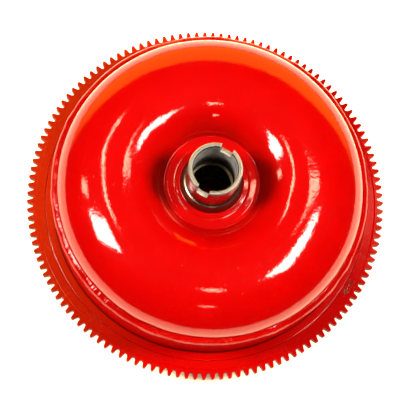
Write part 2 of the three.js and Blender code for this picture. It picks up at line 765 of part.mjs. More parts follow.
addPart(stator, 'stator_wheel', statorWheelGeometry(), CAST_ALUMINIUM);
addPart(
  stator,
  'clutch_outer_race',
  extruded(circle(OUTER_RACE_R, MID_SIDES), ...CLUTCH_Z, pocketOutline()),
  HARDENED_STEEL,
);
for (let i = 0; i < ROLLER_COUNT; i += 1) {
  const roller = addPart(stator, `clutch_roller_${i + 1}`, clutchRollerGeometry(), HARDENED_STEEL);
  const { x, y } = polar(ROLLER_CIRCLE_R, (2 * Math.PI * i) / ROLLER_COUNT);
  roller.position.set(x, y, 0);
}
addRound(stator, 'clutch_spring', ROLLER_COUNT, clutchSpringGeometry, SPRING_STEEL);
addPart(
  stator,
  'front_retainer',
  flatRing(RETAINER_BORE_R, OUTER_RACE_R, RACE_Z[0], CLUTCH_Z[0] - GAP, MID_SIDES),
  PRESSED_STEEL,
);
addPart(
  stator,
  'rear_retainer',
  flatRing(RETAINER_BORE_R, OUTER_RACE_R, CLUTCH_Z[1] + GAP, RACE_Z[1], MID_SIDES),
  PRESSED_STEEL,
);
const frontSnapRingZ = STATOR_Z[0] + GROOVE_EDGE + GAP;
const rearSnapRingZ = STATOR_Z[1] - GROOVE_EDGE - GAP - SNAP_RING_THICKNESS;
addPart(stator, 'front_snap_ring', snapRingGeometry(frontSnapRingZ), SPRING_STEEL);
addPart(stator, 'rear_snap_ring', snapRingGeometry(rearSnapRingZ), SPRING_STEEL);
const turbineRearZ = TURBINE.flatZ + TURBINE_SHELL;
addPart(
  stator,
  'front_thrust_washer',
  flatRing(...WASHER_R, turbineRearZ + WASHER_GAP, RACE_Z[0] - GAP, MID_SIDES),
  BRONZE,
);
addPart(
  stator,
  'rear_thrust_washer',
  flatRing(...WASHER_R, RACE_Z[1] + GAP, HUB_BOTTOM_Z - GAP, MID_SIDES),
  BRONZE,
);

addPart(
  converter,
  'clutch_inner_race',
  extruded(circle(INNER_RACE_R, MID_SIDES), ...RACE_Z, splineHole(STATOR_SPLINE)),
  HARDENED_STEEL,
);

export default converter;
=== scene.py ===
"""The looks of a torque converter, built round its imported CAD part.

Lengths are millimetres in the part's own frame, and become metres where a mesh, light or camera is made.
+Z is the converter's axis, from the engine to the transmission, and the part stands on its pilot at z = 0.
A profile is a list of (radius, z) points that is turned about Z.
"""

import math
import random

import bmesh
import bpy
import numpy as np
from mathutils import Matrix, Quaternion, Vector, noise


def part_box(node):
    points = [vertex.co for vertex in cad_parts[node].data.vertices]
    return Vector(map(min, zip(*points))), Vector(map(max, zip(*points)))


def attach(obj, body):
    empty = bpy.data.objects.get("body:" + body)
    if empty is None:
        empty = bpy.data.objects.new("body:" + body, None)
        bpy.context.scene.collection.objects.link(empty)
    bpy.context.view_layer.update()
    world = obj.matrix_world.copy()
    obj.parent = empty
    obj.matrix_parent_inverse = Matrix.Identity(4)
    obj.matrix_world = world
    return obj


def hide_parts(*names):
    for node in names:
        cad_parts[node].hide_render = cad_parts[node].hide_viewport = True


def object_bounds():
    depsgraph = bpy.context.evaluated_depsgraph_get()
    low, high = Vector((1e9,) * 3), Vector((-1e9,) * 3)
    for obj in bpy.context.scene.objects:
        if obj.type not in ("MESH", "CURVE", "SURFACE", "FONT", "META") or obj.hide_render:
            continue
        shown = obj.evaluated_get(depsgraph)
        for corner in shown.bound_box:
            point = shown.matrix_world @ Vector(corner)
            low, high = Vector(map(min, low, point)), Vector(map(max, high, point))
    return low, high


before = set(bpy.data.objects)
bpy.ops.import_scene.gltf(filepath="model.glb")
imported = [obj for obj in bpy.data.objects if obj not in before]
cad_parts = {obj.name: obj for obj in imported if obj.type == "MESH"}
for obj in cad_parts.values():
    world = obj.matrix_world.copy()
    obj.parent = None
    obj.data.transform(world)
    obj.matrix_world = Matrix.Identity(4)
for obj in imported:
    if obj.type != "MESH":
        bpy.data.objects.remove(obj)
cad_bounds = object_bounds()
scene = bpy.context.scene

MM = 0.001
GAP = 0.3  # between pieces that touch
ROUND = 256  # segments round the housing
FINE = 128  # segments round the hubs and the clutch
SMALL = 48  # segments round pads, plugs and rollers


# ---- driving dimensions, measured on the frame ----------------------------------------------------

def heights(node):
    """Lowest and highest z of a CAD node."""
    low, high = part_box(node)
    return low.z / MM, high.z / MM


def reach(node):
    """Largest distance of a CAD node from the Z axis."""
    return max(math.hypot(v.co.x, v.co.y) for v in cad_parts[node].data.vertices) / MM


def nearest(node):
    """Smallest distance of a CAD node's vertices from the Z axis."""
    return min(math.hypot(v.co.x, v.co.y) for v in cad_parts[node].data.vertices) / MM


GEAR_TEETH = 131
GEAR_TIP_R = reach("ring_gear") - 0.02
GEAR_MODULE = 2 * GEAR_TIP_R / (GEAR_TEETH + 2)
GEAR_ROOT_R = GEAR_TIP_R - 2.25 * GEAR_MODULE
GEAR_BORE_R = nearest("ring_gear")
GEAR_FRONT_Z, GEAR_REAR_Z = heights("ring_gear")
GEAR_CLOCKING = math.radians(1.49)  # of one tooth, from the X axis

COVER_R = reach("front_cover")
RIM_PLATE_Z, WALL_TOP_Z = heights("front_cover")
WALL_R = 143.5
WALL_INNER_R = 139
PLATE = 5
MIDDLE_PLATE_Z = RIM_PLATE_Z + 9
MIDDLE_R = 98
PAD_CIRCLE_R = 127
PAD_R = 16
PAD_HOLE_R = 4.3
PAD_HOLE_DEPTH = 7
DRAIN_ANGLE = math.pi / 4

CREST_R = 85.5
SHELL = 3.2
TURBINE_SHELL = 2
NECK_ANGLE = 153
FOOT_SHARE = 0.22  # of the slope below the neck that the fillet to the flat takes up
MIDDLE_Z = 80
IMPELLER = {
    "rim_r": 138.6, "rim_z": 79.2, "centre_z": 88.5, "depth": 34,
    "neck_semi_r": 46, "flat_r": 36.3, "flat_z": 101.8, "side": 1,
}
TURBINE = {
    "rim_r": 136, "rim_z": 78, "centre_z": 71.5, "depth": 30.5,
    "neck_semi_r": 47, "flat_r": 24, "flat_z": 59.5, "side": -1,
}
CORE_R = 97
CORE_SEMI_R = 27
CORE_SEMI_Z = 23
CORE_SHEET = 1.5
VANE_THICKNESS = 1.2
IMPELLER_VANES = 25
TURBINE_VANES = 23

HUB_BOTTOM_Z, HUB_TOP_Z = heights("impeller_hub")
HUB_FLANGE_R = reach("impeller_hub")
HUB_BORE_R = nearest("impeller_hub")
HUB_TUBE_R = 23.7
SLOT_WIDTH = 11.3
SLOT_DEPTH = 12.5

TURBINE_HUB_Z = heights("turbine_hub")
TURBINE_FLANGE_R = reach("turbine_hub")
RIVET_COUNT = 6
RIVET_CIRCLE_R = 34

STATOR_Z = heights("stator_wheel")
STATOR_VANES = 13
STATOR_BORE_R = 41.3
STATOR_RING_R = 47.5
STATOR_SHROUD_R = 66.3
CLUTCH_Z = heights("clutch_outer_race")
RACE_Z = heights("clutch_inner_race")
OUTER_RACE_R = 40.9
INNER_RACE_R = 28
ROLLER_COUNT = 8
ROLLER_R = 4.2
ROLLER_CIRCLE_R = 32.35


# ---- outlines --------------------------------------------------------------------------------------

def rounded(corners, steps=4):
    """A closed outline through corners (x, y, radius), each rounded by an arc of that radius."""
    line = []
    for i, (x, y, radius) in enumerate(corners):
        here = Vector((x, y))
        before = Vector(corners[i - 1][:2]) - here
        after = Vector(corners[(i + 1) % len(corners)][:2]) - here
        inside = before.angle(after)
        if radius == 0 or inside > math.pi - 0.01:
            line.append(tuple(here))
            continue
        length = min(radius / math.tan(inside / 2), 0.49 * before.length, 0.49 * after.length)
        start = here + before.normalized() * length
        end = here + after.normalized() * length
        for k in range(steps + 1):
            t = k / steps
            weights = ((1 - t) ** 2, 2 * math.sin(inside / 2) * t * (1 - t), t ** 2)
            point = (start * weights[0] + here * weights[1] + end * weights[2]) / sum(weights)
            line.append(tuple(point))
    return line


def ellipse(centre_r, centre_z, semi_r, semi_z, start, end, steps):
    """Profile points on an ellipse, from one angle to another in degrees."""
    angles = np.radians(np.linspace(start, end, steps + 1))
    return list(zip(centre_r + semi_r * np.cos(angles), centre_z + semi_z * np.sin(angles)))


def offset(line, distance):
    """A line of points moved sideways, to the left of the way it runs."""
    points = np.array(line, float)
    along = np.gradient(points, axis=0)
    along /= np.linalg.norm(along, axis=1)[:, None]
    left = np.stack([-along[:, 1], along[:, 0]], axis=1)
    return [tuple(p) for p in points + distance * left]


def sheet(line, distance):
    """The outline of a sheet whose one face is the line and whose other face is distance to its left."""
    return list(line) + offset(line, distance)[::-1]


def torus_outside(half, steps=40):
    """The outside of a half torus, from its rim, over its crest, to the flat round its neck."""
    rim_semi_r = half["rim_r"] - CREST_R
    bulge = half["side"] * half["depth"]
    outer = ellipse(CREST_R, half["centre_z"], rim_semi_r, bulge, 0, 90, steps)
    inner = ellipse(CREST_R, half["centre_z"], half["neck_semi_r"], bulge, 90, NECK_ANGLE, steps)
    neck = math.radians(NECK_ANGLE)
    neck_r, neck_z = inner[-1]
    steepness = (bulge * math.cos(neck)) / (-half["neck_semi_r"] * math.sin(neck))
    corner_r = neck_r - (neck_z - half["flat_z"]) / steepness
    tangent = FOOT_SHARE * math.hypot(neck_r - corner_r, neck_z - half["flat_z"])
    start_r = corner_r + FOOT_SHARE * (neck_r - corner_r)
    start_z = half["flat_z"] + FOOT_SHARE * (neck_z - half["flat_z"])
    foot = []
    for k in range(11):
        t = k / 10
        weights = ((1 - t) ** 2, 2 * t * (1 - t), t ** 2)
        r = weights[0] * start_r + weights[1] * corner_r + weights[2] * (corner_r - tangent)
        z = weights[0] * start_z + (weights[1] + weights[2]) * half["flat_z"]
        foot.append((r, z))
    straight = [(half["rim_r"], z) for z in np.linspace(half["rim_z"], half["centre_z"], 4)[:-1]]
    return straight + outer + inner[1:] + foot + [(half["flat_r"], half["flat_z"])]


def evenly(count, clocking=0.0):
    """Angles evenly round the Z axis."""
    return clocking + np.arange(count) * 2 * math.pi / count


def toothed(count, breaks, clocking=0.0):
    """Angles and radii round a toothed circle.

    breaks are (angle, radius) from the middle of a tooth or groove to half a pitch from it.
    """
    one_side = [(-a, r) for a, r in breaks[::-1] if 0 < a < math.pi / count - 1e-6]
    other_side = [(a, r) for a, r in breaks]
    angles = []
    radii = []
    for i in range(count):
        for a, r in one_side + other_side:
            angles.append(clocking + 2 * math.pi * i / count + a)
            radii.append(r)
    return np.array(angles), np.array(radii)


def gear_outline():
    """Involute teeth with rounded tips and roots."""
    pitch_r = GEAR_MODULE * GEAR_TEETH / 2
    pressure = math.radians(16)
    base_r = pitch_r * math.cos(pressure)

    def half_angle(r):
        at = math.acos(min(base_r / r, 1))
        involute = math.tan(at) - at
        return math.pi / (2 * GEAR_TEETH) + math.tan(pressure) - pressure - involute - 0.25 / r

    flank = [(half_angle(r), r) for r in np.linspace(GEAR_TIP_R - 0.45, GEAR_ROOT_R + 0.9, 4)]
    tip_half = half_angle(GEAR_TIP_R)
    half_pitch = math.pi / GEAR_TEETH
    root_half = flank[-1][0]
    breaks = [(0, GEAR_TIP_R), (tip_half * 0.72, GEAR_TIP_R - 0.04)] + flank
    for share, height in ((0.3, 0.4), (0.6, 0.1)):
        breaks.append((root_half + (half_pitch - root_half) * share, GEAR_ROOT_R + height))
    breaks.append((half_pitch, GEAR_ROOT_R))
    return toothed(GEAR_TEETH, breaks, GEAR_CLOCKING)


def spline_outline(teeth, minor_r, major_r, groove_half, mouth_half):
    """The bore of a hub with straight-sided splines."""
    half_pitch = math.pi / teeth
    land = groove_half / minor_r
    breaks = [
        (0, major_r),
        (mouth_half / major_r * 0.85, major_r),
        (mouth_half / major_r, major_r - 0.12),
        (land, minor_r + 0.1),
        (land + 0.008, minor_r),
        (half_pitch, minor_r),
    ]
    return toothed(teeth, breaks)


def pocket_outline():
    """The bore of the outer race: a land, then a pocket whose wall slopes outwards."""
    land_r = 31.5
    start, end = -9, 27
    angles = []
    radii = []
    for i in range(ROLLER_COUNT):
        first = 360 * i / ROLLER_COUNT
        angles += [first + start - 4, first + start - 0.9, first + start - 0.35]
        radii += [land_r, land_r, land_r + 0.5]
        for t in np.linspace(0, 1, 13):
            angles.append(first + start + (end - start) * t)
            radii.append(36.35 + 1.25 * t - (0.6 if t in (0, 1) else 0))
        angles += [first + end + 0.35, first + end + 0.9]
        radii += [land_r + 0.5, land_r]
    return np.radians(angles), np.array(radii)


# ---- meshes ----------------------------------------------------------------------------------------

class Shape:
    """Vertices in millimetres and the faces between them."""

    def __init__(self, points=(), faces=()):
        self.points = np.array(points, float).reshape(-1, 3)
        self.faces = [tuple(f) for f in faces]

    def add(self, other):
        shift = len(self.points)
        self.points = np.vstack([self.points, other.points])
        self.faces += [tuple(i + shift for i in f) for f in other.faces]
        return self

    def moved(self, matrix):
        turn = np.array(matrix.to_3x3())
        return Shape(self.points @ turn.T + np.array(matrix.translation), self.faces)

    def wavy(self, size, height, seed):
        """Pushed in and out by smooth noise of that grain size and height."""
        shift = Vector((seed * 17.3, seed * 5.1, seed * 9.7))
        for i, p in enumerate(self.points):
            push = noise.noise_vector(Vector(p) / size + shift)
            self.points[i] = p + np.array(push) * height
        return self


def turned(profile, angles, edge=None):
    """A closed profile turned about Z. A point (r, z, True) is r outside the edge, which has a radius per angle."""
    plain = np.array([p[:2] for p in profile], float)
    follows = np.array([len(p) > 2 and bool(p[2]) for p in profile])
    r, z = plain.T
    if np.sum(r * np.roll(z, -1) - np.roll(r, -1) * z) < 0 and not follows.any():
        r, z, follows = r[::-1], z[::-1], follows[::-1]
    count, length = len(angles), len(r)
    radius = np.tile(r, (count, 1))
    if edge is not None:
        radius = np.where(follows, radius + np.array(edge)[:, None], radius)
    x = radius * np.cos(angles)[:, None]
    y = radius * np.sin(angles)[:, None]
    points = np.stack([x, y, np.tile(z, (count, 1))], axis=2).reshape(-1, 3)
    faces = []
    for i in range(count):
        k = (i + 1) % count
        for j in range(length):
            m = (j + 1) % length
            if r[j] == 0 and r[m] == 0 and not follows[j]:
                continue
            faces.append((i * length + j, k * length + j, k * length + m, i * length + m))
    return Shape(points, faces)


def extruded(outline, bottom, top, bevel=0.0):
    """An outline, counter-clockwise from above, raised from bottom to top with bevelled edges."""
    closed = np.array(outline, float)
    after = np.roll(closed, -1, axis=0) - closed
    after /= np.linalg.norm(after, axis=1)[:, None]
    before = np.roll(after, 1, axis=0)
    inward = np.stack([-(after + before)[:, 1], (after + before)[:, 0]], axis=1)
    inward /= np.maximum(np.sum(inward * np.stack([-after[:, 1], after[:, 0]], axis=1), axis=1), 0.4)[:, None]
    levels = [(bottom, bevel), (bottom + bevel, 0), (top - bevel, 0), (top, bevel)]
    if bevel == 0:
        levels = [(bottom, 0), (top, 0)]
    count = len(closed)
    points = [(*p, z) for z, inset in levels for p in closed + inward * inset]
    faces = [tuple(range(count))[::-1], tuple(range((len(levels) - 1) * count, len(levels) * count))]
    for level in range(len(levels) - 1):
        for i in range(count):
            k = (i + 1) % count
            a, b = level * count, (level + 1) * count
            faces.append((a + i, a + k, b + k, b + i))
    return Shape(points, faces)


def ball(centre, size, seed):
    """A lumpy blob of spatter."""
    made = bmesh.new()
    bmesh.ops.create_icosphere(made, subdivisions=2, radius=size)
    points = [v.co * (1 + 0.3 * noise.noise(v.co / size + Vector((seed, 0, 0)))) for v in made.verts]
    faces = [[v.index for v in f.verts] for f in made.faces]
    made.free()
    return Shape(points, faces).moved(Matrix.Translation(centre))


def around(shape, count, first_angle=0.0):
    """Copies of a shape evenly about Z, as one shape."""
    whole = Shape()
    for angle in evenly(count, first_angle):
        whole.add(shape.moved(Matrix.Rotation(angle, 4, "Z")))
    return whole


def piece(name, shape, body, material, nodes=(), sharp=35):
    """Makes a mesh object from a shape, on a body, in place of CAD nodes."""
    mesh = bpy.data.meshes.new(name)
    mesh.from_pydata(shape.points * MM, [], shape.faces)
    made = bmesh.new()
    made.from_mesh(mesh)
    bmesh.ops.remove_doubles(made, verts=made.verts, dist=1e-7)
    bmesh.ops.recalc_face_normals(made, faces=made.faces)
    made.to_mesh(mesh)
    made.free()
    mesh.polygons.foreach_set("use_smooth", [True] * len(mesh.polygons))
    mesh.set_sharp_from_angle(angle=math.radians(sharp))
    mesh.materials.append(material)
    made_object = bpy.data.objects.new(name, mesh)
    scene.collection.objects.link(made_object)
    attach(made_object, body)
    if nodes:
        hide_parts(*nodes)
    return made_object


def towards(azimuth, zenith):
    """The direction at an azimuth from +X and an angle from straight up, in degrees."""
    a, t = math.radians(azimuth), math.radians(zenith)
    return Vector((math.sin(t) * math.cos(a), math.sin(t) * math.sin(a), math.cos(t)))


# ---- finishes --------------------------------------------------------------------------------------

class Finish:
    """A material's node tree, with short calls for the nodes that the finishes below share."""

    def __init__(self, name, colour, roughness, metallic=0.0):
        self.material = bpy.data.materials.new(name)
        self.material.use_nodes = True
        self.tree = self.material.node_tree
        self.shader = self.tree.nodes["Principled BSDF"]
        self.shader.inputs["Base Color"].default_value = (*colour, 1)
        self.shader.inputs["Roughness"].default_value = roughness
        self.shader.inputs["Metallic"].default_value = metallic
        self.place = self.tree.nodes.new("ShaderNodeTexCoord").outputs["Object"]
        self.normal = None

    def node(self, kind, values=None, **settings):
        made = self.tree.nodes.new(kind)
        for name, value in settings.items():
            setattr(made, name, value)
        for name, value in (values or {}).items():
            if isinstance(value, bpy.types.NodeSocket):
                self.tree.links.new(value, made.inputs[name])
            else:
                made.inputs[name].default_value = value
        return made

    def noise(self, size, detail=2.0, stretch=None, rough=0.5):
        """Noise from 0 to 1 whose grain is size millimetres, stretched by a factor along each axis."""
        place = self.place
        if stretch is not None:
            place = self.node("ShaderNodeMapping", {"Vector": place, "Scale": stretch}).outputs["Vector"]
        values = {"Vector": place, "Scale": 1000 / size, "Detail": detail, "Roughness": rough}
        return self.node("ShaderNodeTexNoise", values).outputs["Fac"]

    def math(self, operation, a, b=0.0, c=0.0):
        return self.node("ShaderNodeMath", {0: a, 1: b, 2: c}, operation=operation).outputs[0]

    def ramp(self, value, low, high, out_low=0.0, out_high=1.0):
        """A smooth step from low to high."""
        values = {"Value": value, 1: low, 2: high, 3: out_low, 4: out_high}
        made = self.node("ShaderNodeMapRange", values, interpolation_type="SMOOTHSTEP")
        return made.outputs["Result"]

    def mixed(self, factor, a, b):
        """Colour a where factor is 0 and b where it is 1."""
        made = self.node("ShaderNodeMix", {0: factor}, data_type="RGBA")
        for index, value in ((6, a), (7, b)):
            if isinstance(value, bpy.types.NodeSocket):
                self.tree.links.new(value, made.inputs[index])
            else:
                made.inputs[index].default_value = (*value, 1)
        return made.outputs[2]

    def bump(self, height, depth):
        """Adds relief of depth millimetres to the surface."""
        values = {"Height": height, "Distance": depth * MM, "Strength": 1.0}
        if self.normal is not None:
            values["Normal"] = self.normal
        self.normal = self.node("ShaderNodeBump", values).outputs["Normal"]

    def specks(self, size, share, spread=0.35):
        """Round specks, 1 in the middle of some of the cells of that size and 0 elsewhere."""
        cell = self.node("ShaderNodeTexVoronoi", {"Vector": self.place, "Scale": 1000 / size})
        chosen = self.node("ShaderNodeSeparateColor", {0: cell.outputs["Color"]}).outputs[0]
        core = self.ramp(cell.outputs["Distance"], 0.0, spread, 1.0, 0.0)
        return self.math("MULTIPLY", core, self.math("LESS_THAN", chosen, share))

    def scratches(self, direction, size=0.5, rarity=0.73):
        """Thin lines that run roughly along a direction, given as rotations in radians."""
        turned_place = self.node("ShaderNodeMapping", {"Vector": self.place, "Rotation": direction})
        values = {"Vector": turned_place.outputs["Vector"], "Scale": (1000 / size, 30, 30)}
        long_place = self.node("ShaderNodeMapping", values).outputs["Vector"]
        lines = self.node("ShaderNodeTexNoise", {"Vector": long_place, "Scale": 1.0, "Detail": 1.0})
        return self.ramp(lines.outputs["Fac"], rarity, rarity + 0.03)

    def axis_distance(self):
        """Distance from the Z axis, in metres."""
        flat = self.node("ShaderNodeVectorMath", {0: self.place, 1: (1, 1, 0)}, operation="MULTIPLY")
        return self.node("ShaderNodeVectorMath", {0: flat.outputs[0]}, operation="LENGTH").outputs["Value"]

    def height(self):
        return self.node("ShaderNodeSeparateXYZ", {0: self.place}).outputs["Z"]

    def turning_marks(self, pitch, depth):
        """Fine rings left by a lathe, about the Z axis, on faces and cylinders alike."""
        along = self.math("ADD", self.axis_distance(), self.math("MULTIPLY", self.height(), 0.83))
        values = {"W": self.math("MULTIPLY", along, 1000 / pitch), "Scale": 1.0, "Detail": 3.0}
        rings = self.node("ShaderNodeTexNoise", values, noise_dimensions="1D").outputs["Fac"]
        self.bump(rings, depth)
        return rings

    def done(self, colour=None, roughness=None):
        if colour is not None:
            self.tree.links.new(colour, self.shader.inputs["Base Color"])
        if roughness is not None:
            self.tree.links.new(roughness, self.shader.inputs["Roughness"])
        if self.normal is not None:
            self.tree.links.new(self.normal, self.shader.inputs["Normal"])
            if self.shader.inputs["Coat Weight"].default_value > 0:
                self.tree.links.new(self.normal, self.shader.inputs["Coat Normal"])
        return self.material


def enamel(name, peel=1.0, wear=0.0, gloss=0.04, coat=1.0, dust=0.03, thin=False, crease_shade=False):
    """Glossy red enamel, sprayed over steel, with orange peel, dust nibs and, by wear, scratches and chips.

    thin paint lets an orange undertone through on one side and leaves the tooth flanks brown. The last flag paints
    shade into the colour: a dark line where the wall meets the shoulder, darker on the near side.
    """
    red = (0.29, 0.0003, 0.0001)
    deep_red = (0.24, 0.0002, 0.0001)
    finish = Finish(name, red, 0.3)
    finish.shader.inputs["Specular IOR Level"].default_value = 0.03 * coat
    finish.shader.inputs["Coat Weight"].default_value = coat
    finish.shader.inputs["Coat Roughness"].default_value = gloss
    finish.shader.inputs["Coat IOR"].default_value = 1.6
    finish.bump(finish.noise(38, 1.0), 0.30 * peel)
    finish.bump(finish.noise(6, 2.0), 0.085 * peel)
    finish.bump(finish.noise(1.5, 2.0), 0.028 * peel)
    nibs = finish.specks(2.4, 0.14, 0.2)
    finish.bump(nibs, 0.08)
    colour = finish.mixed(finish.noise(24, 3.0), red, deep_red)
    colour = finish.mixed(finish.math("MULTIPLY", nibs, 0.25), colour, (0.5, 0.12, 0.06))
    grains = finish.ramp(finish.noise(1.1, 2.0), 0.60, 0.74, 0.0, dust)
    colour = finish.mixed(grains, colour, (0.42, 0.10, 0.012))
    if thin:
        facing = finish.node("ShaderNodeVectorMath", {0: finish.place, 1: towards(190, 90)}, operation="DOT_PRODUCT")
        share = finish.ramp(facing.outputs["Value"], -0.02, 0.15, 0.0, 0.9)
        mottled = finish.ramp(finish.noise(5, 4.0, rough=0.6), 0.2, 0.8, 0.55, 1.0)
        colour = finish.mixed(finish.math("MULTIPLY", share, mottled), colour, (0.30, 0.026, 0.001))
        outside = finish.ramp(finish.axis_distance(), 0.1635, 0.1645)
        low = finish.ramp(finish.height(), 0.027, 0.0325, 0.9, 0.0)
        colour = finish.mixed(finish.math("MULTIPLY", outside, low), colour, (0.10, 0.062, 0.022))
    if crease_shade:
        # painted shade: a dark line in the crease where the wall meets the shoulder, darker on the near side
        beyond = finish.math("SUBTRACT", finish.axis_distance(), WALL_R * MM)
        above = finish.math("SUBTRACT", finish.height(), GEAR_REAR_Z * MM)
        squares = finish.math("ADD", finish.math("POWER", beyond, 2.0), finish.math("POWER", above, 2.0))
        nearside = finish.node("ShaderNodeVectorMath", {0: finish.place, 1: towards(-61, 90)}, operation="DOT_PRODUCT")
        dark = finish.ramp(nearside.outputs["Value"], -0.03, 0.09, 0.35, 0.9)
        near = finish.ramp(finish.math("SQRT", squares), 0.0006, 0.0022, 1.0, 0.0)
        colour = finish.mixed(finish.math("MULTIPLY", near, dark), colour, (0.03, 0.004, 0.002))
    roughness = finish.ramp(finish.noise(9, 3.0), 0.3, 0.8, 0.28, 0.4)
    if wear > 0:
        lines = finish.math("MAXIMUM", finish.scratches((0, 0, 0.5)), finish.scratches((0, 0, 2.0)))
        patches = finish.ramp(finish.noise(30, 2.0), 0.52, 0.66)
        lines = finish.math("MULTIPLY", lines, finish.math("MULTIPLY", patches, wear))
        colour = finish.mixed(lines, colour, (0.5, 0.12, 0.06))
        chips = finish.math("MULTIPLY", finish.specks(4.2, 0.12 * wear, 0.2), patches)
        colour = finish.mixed(chips, colour, (0.10, 0.045, 0.03))
        finish.bump(finish.math("ADD", lines, chips), -0.03)
    return finish.done(colour, roughness)


def machined_steel(name="machined_steel", colour=(0.56, 0.54, 0.51), roughness=0.26, pitch=0.35):
    finish = Finish(name, colour, roughness, 1.0)
    rings = finish.turning_marks(pitch, 0.012)
    stain = finish.ramp(finish.noise(7, 4.0, rough=0.6), 0.45, 0.72)
    tone = finish.mixed(finish.math("MULTIPLY", stain, 0.45), colour, (0.25, 0.19, 0.12))
    finish.bump(finish.specks(1.7, 0.10, 0.3), -0.02)
    return finish.done(tone, finish.math("MULTIPLY_ADD", rings, 0.22, roughness - 0.08))


def hub_steel():
    """Ground steel, blued and browned by the weld's heat near its foot."""
    bright = (0.54, 0.52, 0.50)
    finish = Finish("hub_steel", bright, 0.24, 1.0)
    rings = finish.turning_marks(0.4, 0.010)
    wander = finish.math("MULTIPLY", finish.noise(9, 3.0), 0.006)
    height = finish.math("ADD", finish.height(), wander)
    heat = finish.ramp(height, 0.107, 0.1165, 1.0, 0.0)
    straw = finish.ramp(height, 0.112, 0.127, 0.55, 0.0)
    tone = finish.mixed(straw, bright, (0.42, 0.30, 0.17))
    tone = finish.mixed(heat, tone, (0.24, 0.16, 0.11))
    spots = finish.ramp(finish.noise(2.2, 4.0, rough=0.65), 0.56, 0.7)
    tone = finish.mixed(finish.math("MULTIPLY", spots, 0.4), tone, (0.12, 0.08, 0.055))
    roughness = finish.math("MULTIPLY_ADD", rings, 0.18, 0.14)
    roughness = finish.math("MULTIPLY_ADD", heat, 0.14, roughness)
    end_face = finish.ramp(finish.height(), 0.1477, 0.1479)
    roughness = finish.math("MULTIPLY_ADD", end_face, 0.14, roughness)
    return finish.done(tone, roughness)


def bore_steel():
    """The inside of the drive hub, with an oil film, and a painted shade that makes it nearly black lower down the
    bore.
    """
    bright = (0.46, 0.44, 0.41)
    finish = Finish("bore_steel", bright, 0.5, 0.5)
    rings = finish.turning_marks(0.6, 0.02)
    film = finish.ramp(finish.noise(6, 3.0), 0.35, 0.7)
    tone = finish.mixed(film, bright, (0.30, 0.27, 0.225))
    # painted shade: the colour goes nearly black lower down the bore
    depth = finish.ramp(finish.height(), 0.106, 0.128, 1.0, 0.0)
    tone = finish.mixed(depth, tone, (0.018, 0.015, 0.012))
    return finish.done(tone, finish.math("MULTIPLY_ADD", rings, 0.2, 0.42))


def oiled_steel():
    """Machined steel inside the housing, black with used oil."""
    colour = (0.03, 0.026, 0.02)
    finish = Finish("oiled_steel", colour, 0.3, 1.0)
    rings = finish.turning_marks(0.5, 0.01)
    film = finish.ramp(finish.noise(7, 3.0), 0.35, 0.7)
    tone = finish.mixed(film, colour, (0.06, 0.045, 0.03))
    return finish.done(tone, finish.math("MULTIPLY_ADD", rings, 0.2, 0.2))


def pressed_steel():
    """Dark sheet steel with an oil film."""
    colour = (0.33, 0.31, 0.28)
    finish = Finish("pressed_steel", colour, 0.38, 1.0)
    finish.bump(finish.noise(2.0, 4.0), 0.03)
    film = finish.ramp(finish.noise(18, 3.0), 0.35, 0.7)
    tone = finish.mixed(film, colour, (0.20, 0.15, 0.09))
    return finish.done(tone, finish.ramp(finish.noise(6, 3.0), 0.3, 0.7, 0.25, 0.5))


def hardened_steel():
    colour = (0.50, 0.48, 0.44)
    finish = Finish("hardened_steel", colour, 0.16, 1.0)
    finish.bump(finish.noise(0.6, 2.0), 0.004)
    oil = finish.ramp(finish.noise(8, 3.0), 0.4, 0.7)
    tone = finish.mixed(oil, colour, (0.36, 0.28, 0.16))
    return finish.done(tone, finish.ramp(finish.noise(3, 3.0), 0.3, 0.7, 0.12, 0.26))


def race_steel():
    """The inner race: hardened steel under golden oil varnish."""
    golden = (0.50, 0.44, 0.29)
    finish = Finish("race_steel", golden, 0.3, 1.0)
    rings = finish.turning_marks(0.5, 0.008)
    varnish = finish.ramp(finish.noise(6, 3.0), 0.35, 0.65)
    tone = finish.mixed(varnish, golden, (0.46, 0.42, 0.30))
    return finish.done(tone, finish.math("MULTIPLY_ADD", rings, 0.2, 0.24))


def spring_steel():
    colour = (0.22, 0.25, 0.32)
    finish = Finish("spring_steel", colour, 0.28, 1.0)
    finish.bump(finish.noise(1.2, 3.0), 0.006)
    tone = finish.mixed(finish.noise(4, 3.0), colour, (0.34, 0.33, 0.32))
    return finish.done(tone, finish.ramp(finish.noise(2, 3.0), 0.3, 0.7, 0.2, 0.38))


def cast_aluminium():
    colour = (0.62, 0.62, 0.61)
    finish = Finish("cast_aluminium", colour, 0.5, 1.0)
    finish.bump(finish.noise(1.1, 4.0, rough=0.65), 0.07)
    finish.bump(finish.specks(2.2, 0.14, 0.3), -0.08)
    stain = finish.ramp(finish.noise(14, 4.0), 0.45, 0.75)
    tone = finish.mixed(stain, colour, (0.38, 0.34, 0.27))
    return finish.done(tone, finish.ramp(finish.noise(3, 3.0), 0.3, 0.7, 0.42, 0.6))


def bronze():
    colour = (0.55, 0.33, 0.11)
    finish = Finish("bronze", colour, 0.3, 1.0)
    rings = finish.turning_marks(0.7, 0.01)
    tone = finish.mixed(finish.ramp(finish.noise(7, 3.0), 0.4, 0.7), colour, (0.33, 0.17, 0.06))
    return finish.done(tone, finish.math("MULTIPLY_ADD", rings, 0.25, 0.2))


